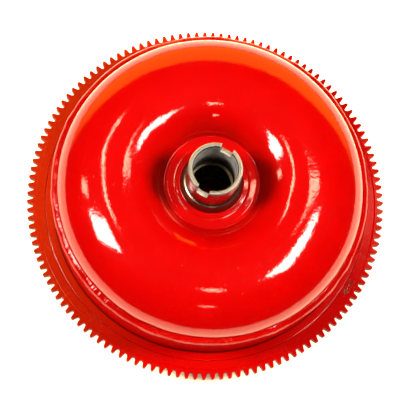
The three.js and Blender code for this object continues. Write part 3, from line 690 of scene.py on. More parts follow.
RED = enamel("red_enamel")
RED_BEAD = enamel("red_enamel_on_weld", peel=2.4, wear=0.35, gloss=0.06, coat=0.7, dust=0.2)
RED_WORN = enamel("red_enamel_worn", peel=1.6, wear=1.0, gloss=0.1, coat=0.25, dust=0.15, crease_shade=True)
RED_DULL = enamel("red_enamel_dull", peel=1.8, wear=1.0, gloss=0.12, coat=0.02, dust=0.2, thin=True, crease_shade=True)
RED_THIN = enamel("red_enamel_thin", peel=1.6, wear=1.0, gloss=0.08, coat=0.2, dust=0.15, thin=True)
MACHINED = machined_steel()
MILLED = machined_steel("milled_steel", (0.62, 0.60, 0.57), 0.5, 0.8)
HUB = hub_steel()
BORE = bore_steel()
OILED = oiled_steel()
PRESSED = pressed_steel()
HARDENED = hardened_steel()
RACE = race_steel()
SPRING = spring_steel()
CAST = cast_aluminium()
BRONZE = bronze()


# ---- housing ---------------------------------------------------------------------------------------

def front_cover():
    """The pressed cover: a dished middle, a flat rim that carries the pads, a shoulder and the wall."""
    slope_r = MIDDLE_R + 12
    inside_z = RIM_PLATE_Z + PLATE
    corners = [
        (0, MIDDLE_PLATE_Z, 0),
        (MIDDLE_R, MIDDLE_PLATE_Z, 6),
        (slope_r, RIM_PLATE_Z, 6),
        (COVER_R, RIM_PLATE_Z, 5),
        (COVER_R, GEAR_REAR_Z - 1.5, 0),
        (COVER_R + 0.28, GEAR_REAR_Z, 0.9),
        (WALL_R + 0.4, GEAR_REAR_Z, 1.4),
        (WALL_R, WALL_TOP_Z, 0.8),
        (WALL_INNER_R, WALL_TOP_Z, 0.5),
        (WALL_INNER_R, inside_z, 6),
        (slope_r + 2, inside_z, 4),
        (MIDDLE_R + 2, MIDDLE_PLATE_Z + PLATE, 4),
        (0, MIDDLE_PLATE_Z + PLATE, 0),
    ]
    outline = rounded(corners, 6)
    shape = turned(outline, evenly(ROUND)).wavy(45, 0.12, 1)
    cover = piece("front_cover_shell", shape, "housing", RED_WORN, ["front_cover"])
    cover.data.materials.append(RED_DULL)
    cover.data.materials.append(RED)
    for face in cover.data.polygons:
        middle = face.center / MM
        r = math.hypot(middle.x, middle.y)
        if middle.z > GEAR_REAR_Z - 1.2 and r > WALL_R + 1.2:
            face.material_index = 2 if r > COVER_R - 0.7 else 1


def crank_pilot():
    """The centre-drilled stub that locates the converter in the crankshaft."""
    low, high = heights("crank_pilot")
    pilot_r = 22.9
    flange_r = reach("crank_pilot")
    corners = [
        (0, low + 7, 0),
        (1.6, low + 5.4, 0),
        (1.6, low + 3.6, 0),
        (5, low, 0.3),
        (pilot_r - 1.8, low, 0.4),
        (pilot_r, low + 2.2, 0.8),
        (pilot_r, low + 12.6, 0.4),
        (pilot_r - 0.5, low + 13.2, 0.3),
        (pilot_r + 0.3, low + 14.2, 0.6),
        (flange_r - 0.6, low + 18, 1.4),
        (flange_r, high, 0),
        (0, high, 0),
    ]
    shape = turned(rounded(corners), evenly(FINE))
    piece("crank_pilot_stub", shape, "housing", MACHINED, ["crank_pilot"])
    fillet = [(flange_r + 0.1, high - 5, 0.5), (flange_r + 4.4, high - 0.1, 0.5), (flange_r + 0.1, high - 0.1, 0)]
    bead = turned(rounded(fillet), evenly(ROUND)).wavy(4, 0.25, 2)
    piece("crank_pilot_weld", bead, "housing", RED_BEAD)


def drive_pads():
    """Round bosses with threaded blind holes for the flexplate's bolts."""
    for i, angle in enumerate(evenly(4)):
        name = f"drive_pad_{i + 1}"
        low, high = heights(name)
        thread = []
        pitch = 1.25
        turns = int((PAD_HOLE_DEPTH - 1) / pitch)
        for k in range(turns):
            z = low + 0.9 + k * pitch
            thread += [(PAD_HOLE_R - 0.05, z, 0), (PAD_HOLE_R - 0.65, z + pitch / 2, 0)]
        corners = [
            (PAD_R - 1.1, low, 0.3),
            (PAD_R, low + 1.1, 0.5),
            (PAD_R, high, 0),
            (0, high, 0),
            (0, low + PAD_HOLE_DEPTH + 1.4, 0),
            (PAD_HOLE_R - 0.4, low + PAD_HOLE_DEPTH, 0),
            *thread[::-1],
            (PAD_HOLE_R + 0.5, low, 0.2),
        ]
        shape = turned(rounded(corners, 3), evenly(SMALL))
        foot = [(PAD_R + 0.1, high - 3.6, 0.4), (PAD_R + 3.2, high - 0.1, 0.4), (PAD_R + 0.1, high - 0.1, 0)]
        bead = turned(rounded(foot), evenly(2 * SMALL)).wavy(3, 0.22, 3 + i)
        place = Matrix.Rotation(angle, 4, "Z") @ Matrix.Translation((PAD_CIRCLE_R, 0, 0))
        piece(f"{name}_boss", shape.moved(place), "housing", RED_WORN, [name])
        piece(f"{name}_weld", bead.moved(place), "housing", RED_BEAD)


def drain_plug():
    """A hexagon-headed plug with a chamfered head."""
    low, high = heights("drain_plug")
    seat = RIM_PLATE_Z - GAP
    hexagon = [(8 * math.cos(a), 8 * math.sin(a)) for a in evenly(6)]
    shape = extruded(hexagon, low, seat - 0.8, 0.7)
    washer = [(0, seat - 0.8, 0), (8.9, seat - 0.8, 0.2), (8.9, seat, 0.2), (0, seat, 0)]
    shape.add(turned(rounded(washer), evenly(SMALL)))
    shank = [(0, seat), (5.4, seat), (5.4, high - 1), (4.6, high), (0, high)]
    shape.add(turned(shank, evenly(SMALL)))
    place = Matrix.Rotation(DRAIN_ANGLE, 4, "Z") @ Matrix.Translation((PAD_CIRCLE_R, 0, 0))
    piece("drain_plug_hexagon", shape.moved(place), "housing", MACHINED, ["drain_plug"])


def balance_weight():
    """A flat plate with rounded ends and two spot-weld dimples, painted over."""
    low, high = heights("balance_weight")
    half_length, end_r = 12, 7
    arc = np.radians(np.linspace(0, 180, 17))
    outline = [(end_r * math.cos(a), half_length + end_r * math.sin(a)) for a in arc]
    outline += [(-x, -y) for x, y in outline]
    shape = extruded(outline, low, high, 0.6)
    for y in (-half_length, half_length):
        rim = [(0, low - 0.02, 0), (2.2, low - 0.35, 0.3), (3.4, low + 0.1, 0.2), (0, low + 0.3, 0)]
        shape.add(turned(rounded(rim), evenly(SMALL)).moved(Matrix.Translation((0, y, 0))))
    place = Matrix.Rotation(DRAIN_ANGLE + math.pi, 4, "Z") @ Matrix.Translation((PAD_CIRCLE_R, 0, 0))
    piece("balance_weight_plate", shape.moved(place), "housing", RED_WORN, ["balance_weight"])


def ring_gear():
    """The starter ring: involute teeth chamfered at both faces, and a fine step round the rear face."""
    chamfer = 0.7
    step_r = 160
    band_r = GEAR_ROOT_R - 1.6
    drop = 0.3
    angles, radii = gear_outline()
    front, rear = GEAR_FRONT_Z, GEAR_REAR_Z
    profile = [
        (GEAR_BORE_R, front + 0.4),
        (GEAR_BORE_R + 0.4, front),
        (band_r, front),
        (-chamfer, front, True),
        (0, front + chamfer, True),
        (0, (front + rear) / 2, True),
        (0, rear - drop - chamfer, True),
        (-chamfer, rear - drop, True),
        (band_r, rear - drop),
        (step_r + 0.35, rear - drop),
        (step_r + 0.1, rear - drop - 0.1),
        (step_r - 0.15, rear - drop - 0.05),
        (step_r - 0.35, rear),
        (GEAR_BORE_R + 0.15, rear),
        (GEAR_BORE_R, rear - 0.15),
    ]
    shape = turned(profile, angles, radii)
    piece("ring_gear_teeth", shape, "housing", RED_THIN, ["ring_gear"], 28)


def bead_ripples(count, pitch, height, wander, seed):
    """How far a weld bead's crown stands out at each angle: ripples of a pitch, and slower wandering."""
    angles = evenly(count)
    out = []
    for a in angles:
        way = Vector((math.cos(a), math.sin(a), seed))
        slow = noise.noise(way * 9) * wander
        phase = a / pitch + 1.2 * noise.noise(way * 31)
        out.append(slow + height * abs(math.sin(math.pi * phase)) - height / 2)
    return angles, np.array(out)


def weld_bead(name, outline, crown, pitch_mm, height, wander, seed, nodes, material, lumps=0.12):
    """A ring bead on the housing. Points of the outline whose index is in crown follow the ripples."""
    radius = sum(p[0] for p in outline) / len(outline)
    count = int(2 * math.pi * radius / pitch_mm) * 5
    angles, out = bead_ripples(count, pitch_mm / radius, height, wander, seed)
    shape = turned(outline, angles)
    grid = shape.points.reshape(count, len(outline), 3)
    centre = np.mean(np.array(outline), axis=0)
    for j in crown:
        r, z = outline[j]
        way = np.array([r, z]) - centre
        way /= np.linalg.norm(way)
        grid[:, j, 0] += np.cos(angles) * way[0] * out
        grid[:, j, 1] += np.sin(angles) * way[0] * out
        grid[:, j, 2] += way[1] * out
    shape.points = grid.reshape(-1, 3)
    return piece(name, shape.wavy(2.5, lumps, seed), "housing", material, nodes, 60)


def closed_ccw(outline):
    r, z = np.array(outline).T
    area = np.sum(r * np.roll(z, -1) - np.roll(r, -1) * z)
    return list(outline) if area > 0 else list(outline)[::-1]


def welds():
    """The beads that close the housing, hold the ring gear and hold the drive hub."""
    inner = IMPELLER["rim_r"] - 0.5
    foot, crown = heights("closure_weld")
    foot = WALL_TOP_Z + 0.02
    bead = closed_ccw(rounded([
        (inner, foot, 0),
        (WALL_R - 0.1, foot, 0),
        (WALL_R + 0.5, foot + 1.4, 1.4),
        (WALL_R - 1.3, crown - 1.7, 2.2),
        (inner, crown, 0.5),
    ], 4))
    rippled = [j for j, (r, z) in enumerate(bead) if z > foot + 0.5 and r > inner + 0.8]
    weld_bead("closure_weld_bead", bead, rippled, 3.4, 0.32, 1.1, 1.5, ["closure_weld"], RED_BEAD, 0.2)

    low, high = heights("ring_gear_weld")
    leg = high - low
    bead = closed_ccw(rounded([
        (GEAR_BORE_R, high, 0),
        (GEAR_BORE_R, low, 0.2),
        (GEAR_BORE_R + 0.75 * leg, high - 0.75 * leg, 1.5),
        (GEAR_BORE_R + leg, high, 0.2),
    ], 4))
    rippled = [j for j, (r, z) in enumerate(bead) if z < high - 0.5 and r > GEAR_BORE_R + 0.4]
    weld_bead("ring_gear_weld_bead", bead, rippled, 3.0, 0.35, 0.5, 4.5, ["ring_gear_weld"], RED_BEAD)

    inner = HUB_FLANGE_R + 0.02
    low = heights("hub_weld")[0]
    seat = IMPELLER["flat_z"] + 0.02
    bead = closed_ccw(rounded([
        (inner, low, 0),
        (IMPELLER["flat_r"] - GAP, low, 0),
        (IMPELLER["flat_r"] - GAP, seat, 0),
        (41, seat, 0.3),
        (38.6, seat + 0.12, 2.0),
        (35, seat + 0.28, 3.0),
        (inner, seat + 0.2, 0.3),
    ], 6))
    rippled = [j for j, (r, z) in enumerate(bead) if z > seat + 0.1]
    weld_bead("hub_weld_bead", bead, rippled, 2.6, 0.03, 0.08, 8.5, ["hub_weld"], RED, 0.01)


def impeller_shell():
    """The pressed shell, with the slight unevenness that bends the highlights on its paint."""
    shape = turned(sheet(torus_outside(IMPELLER), SHELL), evenly(ROUND)).wavy(60, 0.16, 11)
    piece("impeller_shell_dome", shape, "housing", RED, ["impeller_shell"], 50)


def weld_spatter():
    """Small beads of weld metal stuck to the shoulder and the ring gear, some of them rubbed bare."""
    dice = random.Random(20)
    painted = Shape()
    bare = Shape()
    for k in range(90):
        clustered = k < 50
        angle = math.radians(dice.gauss(-3, 2) if clustered else dice.uniform(0, 360))
        r = dice.uniform(154 if clustered else WALL_R + 3, GEAR_ROOT_R - 2)
        size = dice.uniform(0.3, 0.8)
        z = GEAR_REAR_Z - (0.3 if r > 160 else 0)
        if abs(r - GEAR_BORE_R) < 1 or abs(r - 160) < 0.8:
            continue
        centre = Vector((r * math.cos(angle), r * math.sin(angle), z + 0.25 * size))
        group = bare if clustered else painted
        group.add(ball(centre, size, k))
    piece("weld_spatter", painted, "housing", RED, (), 180)
    piece("weld_spatter_bare", bare, "housing", MILLED, (), 180)


def impeller_hub():
    """The drive hub: a ground tube with two drive slots, a collar and the flange that is welded in."""
    chamfer = 0.9
    corners = [
        (HUB_BORE_R, HUB_BOTTOM_Z, 0.3),
        (HUB_FLANGE_R, HUB_BOTTOM_Z, 0.3),
        (HUB_FLANGE_R, IMPELLER["flat_z"], 0.4),
        (28.6, IMPELLER["flat_z"], 0.7),
        (27.8, IMPELLER["flat_z"] + 3.4, 1.0),
        (25.4, 109, 0.5),
        (HUB_TUBE_R, 109.6, 0.4),
        (HUB_TUBE_R, 121, 0),
        (HUB_TUBE_R, HUB_TOP_Z - chamfer, 0.3),
        (HUB_TUBE_R - chamfer, HUB_TOP_Z, 0.25),
        (HUB_BORE_R + chamfer, HUB_TOP_Z, 0.25),
        (HUB_BORE_R, HUB_TOP_Z - chamfer, 0.3),
    ]
    shape = turned(rounded(corners, 3), evenly(192))
    hub = piece("impeller_hub_tube", shape, "housing", HUB, ["impeller_hub"])
    half = SLOT_WIDTH / 2
    floor_z = HUB_TOP_Z - SLOT_DEPTH
    slot = rounded([
        (-half, floor_z, 1.0),
        (half, floor_z, 1.0),
        (half, HUB_TOP_Z + 5, 0),
        (-half, HUB_TOP_Z + 5, 0),
    ], 5)
    cutter_shape = extruded(slot, -2 * HUB_TUBE_R, 2 * HUB_TUBE_R)
    cutter_shape = cutter_shape.moved(Matrix.Rotation(math.pi / 2, 4, "X"))
    cutter = piece("slot_cutter", cutter_shape, "housing", HUB)
    applied(hub, cut_by=cutter, bevel=0.35)
    hub.data.materials.append(RED)
    hub.data.materials.append(BORE)
    hub.data.materials.append(MILLED)
    for face in hub.data.polygons:
        middle = face.center / MM
        r = math.hypot(middle.x, middle.y)
        if middle.z < IMPELLER["flat_z"] + 0.3 and r > 28.2:
            face.material_index = 1
        elif r < HUB_BORE_R + 0.2:
            face.material_index = 2
        elif abs(middle.z - floor_z) < 0.2:
            face.material_index = 3


def applied(target, cut_by=None, bevel=0.0):
    """Cuts one object out of another, breaks the new edges and keeps the result as the mesh."""
    cut = target.modifiers.new("cut", "BOOLEAN")
    cut.object = cut_by
    cut.solver = "EXACT"
    edges = target.modifiers.new("edges", "BEVEL")
    edges.width = bevel * MM
    edges.segments = 2
    edges.limit_method = "ANGLE"
    edges.angle_limit = math.radians(50)
    bpy.context.view_layer.update()
    graph = bpy.context.evaluated_depsgraph_get()
    result = bpy.data.meshes.new_from_object(target.evaluated_get(graph))
    target.modifiers.clear()
    target.data = result
    result.polygons.foreach_set("use_smooth", [True] * len(result.polygons))
    result.set_sharp_from_angle(angle=math.radians(35))
    bpy.data.objects.remove(cut_by)


# ---- vanes and core --------------------------------------------------------------------------------

def vane_ring(name, half, thickness, count, lean, body, node):
    """The vanes of one half of the torus, brazed to their half of the hollow core."""
    steps = 24
    inset = thickness + 1.3
    rim = [(half["rim_r"] - inset, MIDDLE_Z + half["side"] * 1.5)]
    bulge = half["side"] * (half["depth"] - inset)
    outer = ellipse(CREST_R, half["centre_z"], half["rim_r"] - CREST_R - inset, bulge, 30, 90, steps // 2 - 1)
    inner = ellipse(CREST_R, half["centre_z"], half["neck_semi_r"] - inset, bulge, 90, 146, steps // 2)
    shell_line = np.array(rim + outer + inner[1:])
    core_line = np.array(ellipse(CORE_R, MIDDLE_Z, CORE_SEMI_R, half["side"] * CORE_SEMI_Z, 4, 150, steps))
    across = 7
    shape = Shape()
    for vane in range(count):
        points = []
        for face in (-1, 1):
            for i in range(steps + 1):
                turn = 2 * math.pi * vane / count + lean(i / steps)
                for s in np.linspace(0, 1, across):
                    r, z = core_line[i] * (1 - s) + shell_line[i] * s
                    angle = turn + face * VANE_THICKNESS / 2 / r
                    points.append((r * math.cos(angle), r * math.sin(angle), z))
        side = (steps + 1) * across
        faces = []
        for i in range(steps):
            for j in range(across - 1):
                a = i * across + j
                faces.append((a, a + 1, a + 1 + across, a + across))
                faces.append((side + a, side + a + across, side + a + 1 + across, side + a + 1))
        border = [i * across for i in range(steps + 1)]
        border += [steps * across + j for j in range(1, across)]
        border += [i * across + across - 1 for i in range(steps - 1, -1, -1)]
        border += [j for j in range(across - 2, 0, -1)]
        for a, b in zip(border, border[1:] + border[:1]):
            faces.append((a, b, side + b, side + a))
        shape.add(Shape(points, faces))
    back = offset(core_line, half["side"] * CORE_SHEET)
    core_profile = [tuple(p) for p in core_line] + back[::-1]
    shape.add(turned(core_profile, evenly(FINE)))
    piece(name, shape, body, PRESSED, [node], 45)


def impeller_lean(t):
    return 0.22 * t * t


def turbine_lean(t):
    return 0.42 * math.sin(math.pi * t) + 0.25 * t


# ---- turbine ---------------------------------------------------------------------------------------

def turbine():
    profile = sheet(torus_outside(TURBINE), -TURBINE_SHELL)
    shape = turned(profile, evenly(ROUND)).wavy(50, 0.1, 21)
    piece("turbine_shell_bowl", shape, "turbine", PRESSED, ["turbine_shell"], 50)
    vane_ring(
        "turbine_vanes", TURBINE, TURBINE_SHELL, TURBINE_VANES, turbine_lean, "turbine", "turbine_vane_ring",
    )
    low, high = TURBINE_HUB_Z
    flange_z = 54.2
    flange_top = TURBINE["flat_z"] - GAP
    spigot_r = TURBINE["flat_r"] - GAP
    angles, radii = spline_outline(24, 11.5, 12.8, 0.85, 0.7)
    profile = [
        (0.8, low, True),
        (19, low),
        (20, low + 1),
        (20, flange_z - 1.5),
        (21.5, flange_z),
        (TURBINE_FLANGE_R - 0.6, flange_z),
        (TURBINE_FLANGE_R, flange_z + 0.6),
        (TURBINE_FLANGE_R, flange_top - 0.4),
        (TURBINE_FLANGE_R - 0.4, flange_top),
        (spigot_r, flange_top),
        (spigot_r, high - 0.5),
        (spigot_r - 0.5, high),
        (0.8, high, True),
        (0, high - 0.8, True),
        (0, low + 0.8, True),
    ]
    hub = turned(profile, angles, radii)
    piece("turbine_hub_splined", hub, "turbine", OILED, ["turbine_hub"], 28)
    for i, angle in enumerate(evenly(RIVET_COUNT)):
        node = f"turbine_rivet_{i + 1}"
        bottom, top = heights(node)
        corners = [
            (0, bottom, 0), (3.4, bottom, 1.0), (4, bottom + 1.0, 0.4), (4, bottom + 1.8, 0),
            (2.5, bottom + 1.8, 0), (2.5, top - 1.8, 0), (4, top - 1.8, 0), (4, top - 1.0, 0.4),
            (3.4, top, 1.0), (0, top, 0),
        ]
        rivet = turned(rounded(corners, 4), evenly(24))
        place = Matrix.Rotation(angle, 4, "Z") @ Matrix.Translation((RIVET_CIRCLE_R, 0, 0))
        piece(f"{node}_headed", rivet.moved(place), "turbine", PRESSED, [node])
    thrust_washer("turbine_thrust_washer", "turbine", 14, 28)


def thrust_washer(node, body, inner_r, outer_r):
    """A flat bronze washer with eight radial oil grooves on each face."""
    low, high = heights(node)
    depth = 0.45
    half_groove = 1.1
    angles, level = toothed(8, [
        (0, depth), (half_groove / outer_r, depth), (1.6 * half_groove / outer_r, 0), (0.25, 0), (math.pi / 8, 0),
    ])
    radii = np.array([inner_r, inner_r + 0.4, outer_r - 0.4, outer_r])
    profile = [(inner_r, low + 0.4), (inner_r + 0.4, low), (outer_r - 0.4, low), (outer_r, low + 0.4)]
    profile += [(r, low + high - z) for r, z in profile[::-1]]
    shape = turned(profile, angles)
    grid = shape.points.reshape(len(angles), len(profile), 3)
    for j, (_, z) in enumerate(closed_ccw(profile)):
        towards_middle = 1 if z < (low + high) / 2 else -1
        grid[:, j, 2] += towards_middle * level
    shape.points = grid.reshape(-1, 3)
    piece(f"{node}_grooved", shape, body, BRONZE, [node], 28)


# ---- stator and its one-way clutch -----------------------------------------------------------------

def stator_vane():
    """One cambered vane with a round nose towards the turbine, along X."""
    bottom, top = 67.5, 92.5
    steps = 16
    stations = [(1 - math.cos(math.pi * i / steps)) / 2 for i in range(steps + 1)]

    def place(t, side):
        camber = 12 * (t - 0.35) ** 2 - 4
        half = 2.2 * math.sqrt(max(4 * t * (1 - t), 0)) * (1.25 - t) + 0.3
        return (camber + side * half, bottom + t * (top - bottom))

    outline = [place(t, 1) for t in stations] + [place(t, -1) for t in stations[::-1]]
    shape = extruded(outline, STATOR_RING_R - 1, STATOR_SHROUD_R + 1)
    return shape.moved(Matrix.Rotation(math.pi / 2, 4, "Z") @ Matrix.Rotation(math.pi / 2, 4, "X"))


def stator_wheel():
    """One casting: the inner ring with its snap ring grooves, the vanes and the outer ring."""
    bottom, top = STATOR_Z
    groove_r = 42.9
    edge, width = 1, 1.6
    ring = rounded([
        (STATOR_BORE_R, bottom, 0.2),
        (STATOR_RING_R, bottom, 0.8),
        (STATOR_RING_R, top, 0.8),
        (STATOR_BORE_R, top, 0.2),
        (STATOR_BORE_R, top - edge, 0),
        (groove_r, top - edge, 0),
        (groove_r, top - edge - width, 0),
        (STATOR_BORE_R, top - edge - width, 0),
        (STATOR_BORE_R, bottom + edge + width, 0),
        (groove_r, bottom + edge + width, 0),
        (groove_r, bottom + edge, 0),
        (STATOR_BORE_R, bottom + edge, 0),
    ])
    shape = turned(ring, evenly(FINE))
    shroud = rounded([
        (STATOR_SHROUD_R, 70, 0.6),
        (STATOR_SHROUD_R + 2.5, 70, 1.2),
        (STATOR_SHROUD_R + 2.5, 90, 1.2),
        (STATOR_SHROUD_R, 90, 0.6),
    ])
    shape.add(turned(shroud, evenly(FINE)))
    shape.add(around(stator_vane(), STATOR_VANES))
    piece("stator_casting", shape, "stator", CAST, ["stator_wheel"])


def one_way_clutch():
    low, high = CLUTCH_Z
    angles, radii = pocket_outline()
    profile = [
        (OUTER_RACE_R - 0.5, high),
        (0.3, high, True),
        (0, high - 0.3, True),
        (0, low + 0.3, True),
        (0.3, low, True),
        (OUTER_RACE_R - 0.5, low),
        (OUTER_RACE_R, low + 0.5),
        (OUTER_RACE_R, high - 0.5),
    ]
    race = turned(profile[::-1], angles, radii)
    piece("clutch_outer_race_pocketed", race, "stator", HARDENED, ["clutch_outer_race"], 28)

    low, high = RACE_Z
    angles, radii = spline_outline(24, 16.2, 17.6, 1.2, 1.0)
    profile = [
        (0.7, low, True),
        (INNER_RACE_R - 0.8, low),
        (INNER_RACE_R, low + 0.8),
        (INNER_RACE_R, high - 0.8),
        (INNER_RACE_R - 0.8, high),
        (INNER_RACE_R - 3.4, high),
        (INNER_RACE_R - 3.7, high - 0.25),
        (INNER_RACE_R - 4.3, high - 0.25),
        (INNER_RACE_R - 4.6, high),
        (17.9, high),
        (17.7, high - 0.3),
        (17.7, high - 8.0),
        (0, high - 9.0, True),
        (0, low + 0.7, True),
    ]
    race = turned(profile, angles, radii)
    race = piece("clutch_inner_race_splined", race, "inner_race", RACE, ["clutch_inner_race"], 28)
    race.data.materials.append(OILED)
    for face in race.data.polygons:
        if math.hypot(face.center.x, face.center.y) < 17.75 * MM:
            face.material_index = 1

    for i, angle in enumerate(evenly(ROLLER_COUNT)):
        roller(i, angle)
        spring(i, angle)
    for node in ("front_retainer", "rear_retainer"):
        bottom, top = heights(node)
        ring = rounded([
            (28.7, bottom, 0.4), (OUTER_RACE_R, bottom, 0.4), (OUTER_RACE_R, top, 0.4), (28.7, top, 0.4),
        ])
        piece(f"{node}_plate", turned(ring, evenly(FINE)), "stator", PRESSED, [node])
    for node in ("front_snap_ring", "rear_snap_ring"):
        snap_ring(node)
    for node in ("front_thrust_washer", "rear_thrust_washer"):
        thrust_washer(node, "stator", 20.2, 29.5)


def roller(i, angle):
    node = f"clutch_roller_{i + 1}"
    low, high = heights(node)
    corners = [
        (0, low, 0), (ROLLER_R - 0.5, low, 0.3), (ROLLER_R, low + 0.7, 0.4),
        (ROLLER_R, high - 0.7, 0.4), (ROLLER_R - 0.5, high, 0.3), (0, high, 0),
    ]
    place = Matrix.Rotation(angle, 4, "Z") @ Matrix.Translation((ROLLER_CIRCLE_R, 0, 0))
    shape = turned(rounded(corners), evenly(SMALL)).moved(place)
    piece(f"{node}_ground", shape, f"roller_{i + 1}", HARDENED, [node])


def spring(i, angle):
    """A strip folded to and fro, with rounded folds."""
    node = f"clutch_spring_{i + 1}"
    low, high = heights(node)
    folds = 6
    inner_r, outer_r = 30.8, 35.6
    half = 0.45
    start, end = math.radians(9), math.radians(25.8)
    middle = []
    for k in range(folds + 1):
        at = start + (end - start) * k / folds
        r = outer_r if k % 2 else inner_r
        middle.append(Vector((r * math.cos(at), r * math.sin(at))))
    smooth = []
    for k, here in enumerate(middle):
        if k in (0, folds):
            smooth.append(here)
            continue
        before = (middle[k - 1] - here).normalized()
        after = (middle[k + 1] - here).normalized()
        for t in (-1, -0.5, 0, 0.5, 1):
            side = before if t < 0 else after
            smooth.append(here + side * (0.9 * abs(t)) + (before + after) * 0.12 * (1 - abs(t)))
    line = [tuple(p) for p in smooth]
    outline = offset(line, -half / 2) + offset(line, half / 2)[::-1]
    shape = extruded(outline, low, high, 0.0).moved(Matrix.Rotation(angle, 4, "Z"))
    piece(f"{node}_folded", shape, "stator", SPRING, [node], 40)


def snap_ring(node):
    """A split ring of flat wire."""
    low, high = heights(node)
    inner_r, outer_r = 39.5, 42.6
    gap = 0.25
    arc = np.linspace(gap, 2 * math.pi - gap, 121)
    outline = [(outer_r * math.cos(a), outer_r * math.sin(a)) for a in arc]
    outline += [(inner_r * math.cos(a), inner_r * math.sin(a)) for a in arc[::-1]]
    shape = extruded(outline, low, high, 0.15)
    piece(f"{node}_wire", shape, "stator", SPRING, [node], 40)


# ---- stage, lights and camera ----------------------------------------------------------------------

def softbox(name, azimuth, zenith, wide, tall, radiance, colour, turn=0.0, for_highlights=True):
    """An area light that covers wide by tall degrees as seen from the part, turned about its own axis.

    It makes highlights alone, or else lights the paint with no highlight of its own.
    """
    distance = 3.0
    data = bpy.data.lights.new(name, "AREA")
    data.shape = "RECTANGLE"
    data.size = distance * math.radians(wide)
    data.size_y = distance * math.radians(tall)
    data.energy = 4 * data.size * data.size_y * radiance
    data.color = colour
    light = bpy.data.objects.new(name, data)
    scene.collection.objects.link(light)
    way = towards(azimuth, zenith)
    light.location = way * distance + Vector((0, 0, 0.1))
    light.rotation_mode = "QUATERNION"
    spin = Quaternion((0, 0, 1), math.radians(turn))
    light.rotation_quaternion = way.to_track_quat("Z", "Y") @ spin
    light.visible_diffuse = not for_highlights
    light.visible_glossy = for_highlights


def sky():
    """A dark room with an amber glow low down all round, which rises on the far side."""
    world = bpy.data.worlds.new("studio")
    scene.world = world
    world.use_nodes = True
    tree = world.node_tree
    background = tree.nodes["Background"]

    def node(kind, values, **settings):
        made = tree.nodes.new(kind)
        for name, value in settings.items():
            setattr(made, name, value)
        for name, value in values.items():
            if isinstance(value, bpy.types.NodeSocket):
                tree.links.new(value, made.inputs[name])
            else:
                made.inputs[name].default_value = value
        return made.outputs[0]

    def fade(value, low, high, out_low, out_high):
        values = {"Value": value, 1: low, 2: high, 3: out_low, 4: out_high}
        return node("ShaderNodeMapRange", values, interpolation_type="SMOOTHSTEP")

    way = tree.nodes.new("ShaderNodeTexCoord").outputs["Generated"]
    split = tree.nodes.new("ShaderNodeSeparateXYZ")
    tree.links.new(way, split.inputs[0])
    height = split.outputs["Z"]

    def share_along(azimuth):
        """How far the way points to an azimuth, from -1 to 1."""
        made = tree.nodes.new("ShaderNodeVectorMath")
        made.operation = "DOT_PRODUCT"
        tree.links.new(way, made.inputs[0])
        made.inputs[1].default_value = towards(azimuth, 90)
        return made.outputs["Value"]

    far = share_along(115)
    rises = fade(far, 0.25, 0.95, 0.03, 0.68)
    above = node("ShaderNodeMath", {0: height, 1: rises}, operation="SUBTRACT")
    glow = fade(far, 0.1, 0.8, 0.06, 2.9)
    glow = node("ShaderNodeMath", {0: glow, 1: fade(above, -0.12, 0.02, 1.0, 0.0)}, operation="MULTIPLY")
    glow = node("ShaderNodeMath", {0: glow, 1: fade(height, -0.03, 0.0, 0.0, 1.0)}, operation="MULTIPLY")
    depth = tree.nodes.new("ShaderNodeLightPath").outputs["Ray Depth"]
    direct = node("ShaderNodeMath", {0: depth, 1: 2.5}, operation="LESS_THAN")
    glow = node("ShaderNodeMath", {0: glow, 1: direct}, operation="MULTIPLY")
    amber = node("ShaderNodeVectorMath", {0: (1, 0.6, 0.04), "Scale": glow}, operation="SCALE")
    tree.links.new(node("ShaderNodeVectorMath", {0: amber, 1: (0.015, 0.015, 0.015)}), background.inputs["Color"])
    world.cycles_visibility.diffuse = False


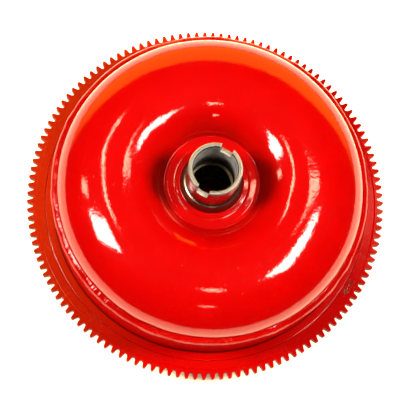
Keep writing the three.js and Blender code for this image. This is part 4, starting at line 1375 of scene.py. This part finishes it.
def studio():
    pale = (1, 0.94, 0.84)
    warm = (1, 0.84, 0.6)
    white = (1, 0.97, 0.93)
    softbox("key_right", 25, 22, 18, 9, 19, pale)
    softbox("key_right_side", 70, 20.7, 2.8, 12.4, 12, warm, -35)
    softbox("key_left", 216, 33, 12, 21, 19, pale)
    softbox("key_left_side", 194.5, 46, 5, 9, 10, warm)
    softbox("small_near", -45.5, 15, 4, 4, 12, warm)
    softbox("small_near_low", -58, 38, 5, 3, 9, warm)
    softbox("tube_far_left", 155.2, 29.75, 2.2, 9.5, 14, warm, -78)
    softbox("tube_far_left_low", 171.9, 21.2, 2.8, 17, 14, warm, -27.5)
    softbox("fill_right", 29, 46, 14, 14, 82, white, for_highlights=False)
    softbox("fill_left", 209, 47, 14, 14, 84, white, for_highlights=False)
    softbox("fill_near", -61, 50, 14, 14, 20, white, for_highlights=False)
    softbox("fill_far", 119, 50, 14, 14, 20, white, for_highlights=False)
    softbox("fill_above", 120, 8, 60, 60, 1.6, white, for_highlights=False)
    sky()

    finish = Finish("pale_floor", (0.92, 0.83, 0.61), 0.6)
    finish.shader.inputs["Specular IOR Level"].default_value = 0.2
    finish.bump(finish.noise(3, 3.0), 0.02)
    tone = finish.mixed(finish.noise(300, 2.0), (0.93, 0.84, 0.62), (0.90, 0.81, 0.60))
    half = 6.0
    corners = [(-half, -half, 0), (half, -half, 0), (half, half, 0), (-half, half, 0)]
    mesh = bpy.data.meshes.new("floor")
    mesh.from_pydata(corners, [], [(0, 1, 2, 3)])
    mesh.materials.append(finish.done(tone))
    floor = bpy.data.objects.new("floor", mesh)
    scene.collection.objects.link(floor)
    floor.location.z = cad_bounds[0].z - 0.0002


def photograph_camera():
    """The camera high on the near side, turned a little about its own axis."""
    elevation, azimuth, roll = 75.955, -75.5, 74.94
    distance = 1.1682
    aim = Vector((0, 0, GEAR_REAR_Z * MM))
    slip_x, slip_y = -0.006294, -0.000225
    back = towards(azimuth, 90 - elevation)
    uphill = (Vector((0, 0, 1)) - back * back.z).normalized()
    across = back.cross(uphill)
    a = math.radians(roll)
    right = uphill * math.cos(a) - across * math.sin(a)
    up = uphill * math.sin(a) + across * math.cos(a)
    data = bpy.data.cameras.new("camera")
    data.lens = 111.16
    data.sensor_width = 36
    data.clip_start = 0.01
    data.clip_end = 100
    camera = bpy.data.objects.new("camera", data)
    scene.collection.objects.link(camera)
    rows = Matrix((right, up, back)).transposed()
    camera.matrix_world = Matrix.Translation(aim + right * slip_x + up * slip_y + back * distance) @ rows.to_4x4()
    scene.camera = camera


front_cover()
crank_pilot()
drive_pads()
drain_plug()
balance_weight()
ring_gear()
welds()
impeller_shell()
weld_spatter()
impeller_hub()
vane_ring(
    "impeller_vanes", IMPELLER, SHELL, IMPELLER_VANES, impeller_lean, "housing", "impeller_vane_ring",
)
turbine()
stator_wheel()
one_way_clutch()
studio()
photograph_camera()
scene.view_settings.view_transform = "Standard"
scene.view_settings.gamma = 0.8
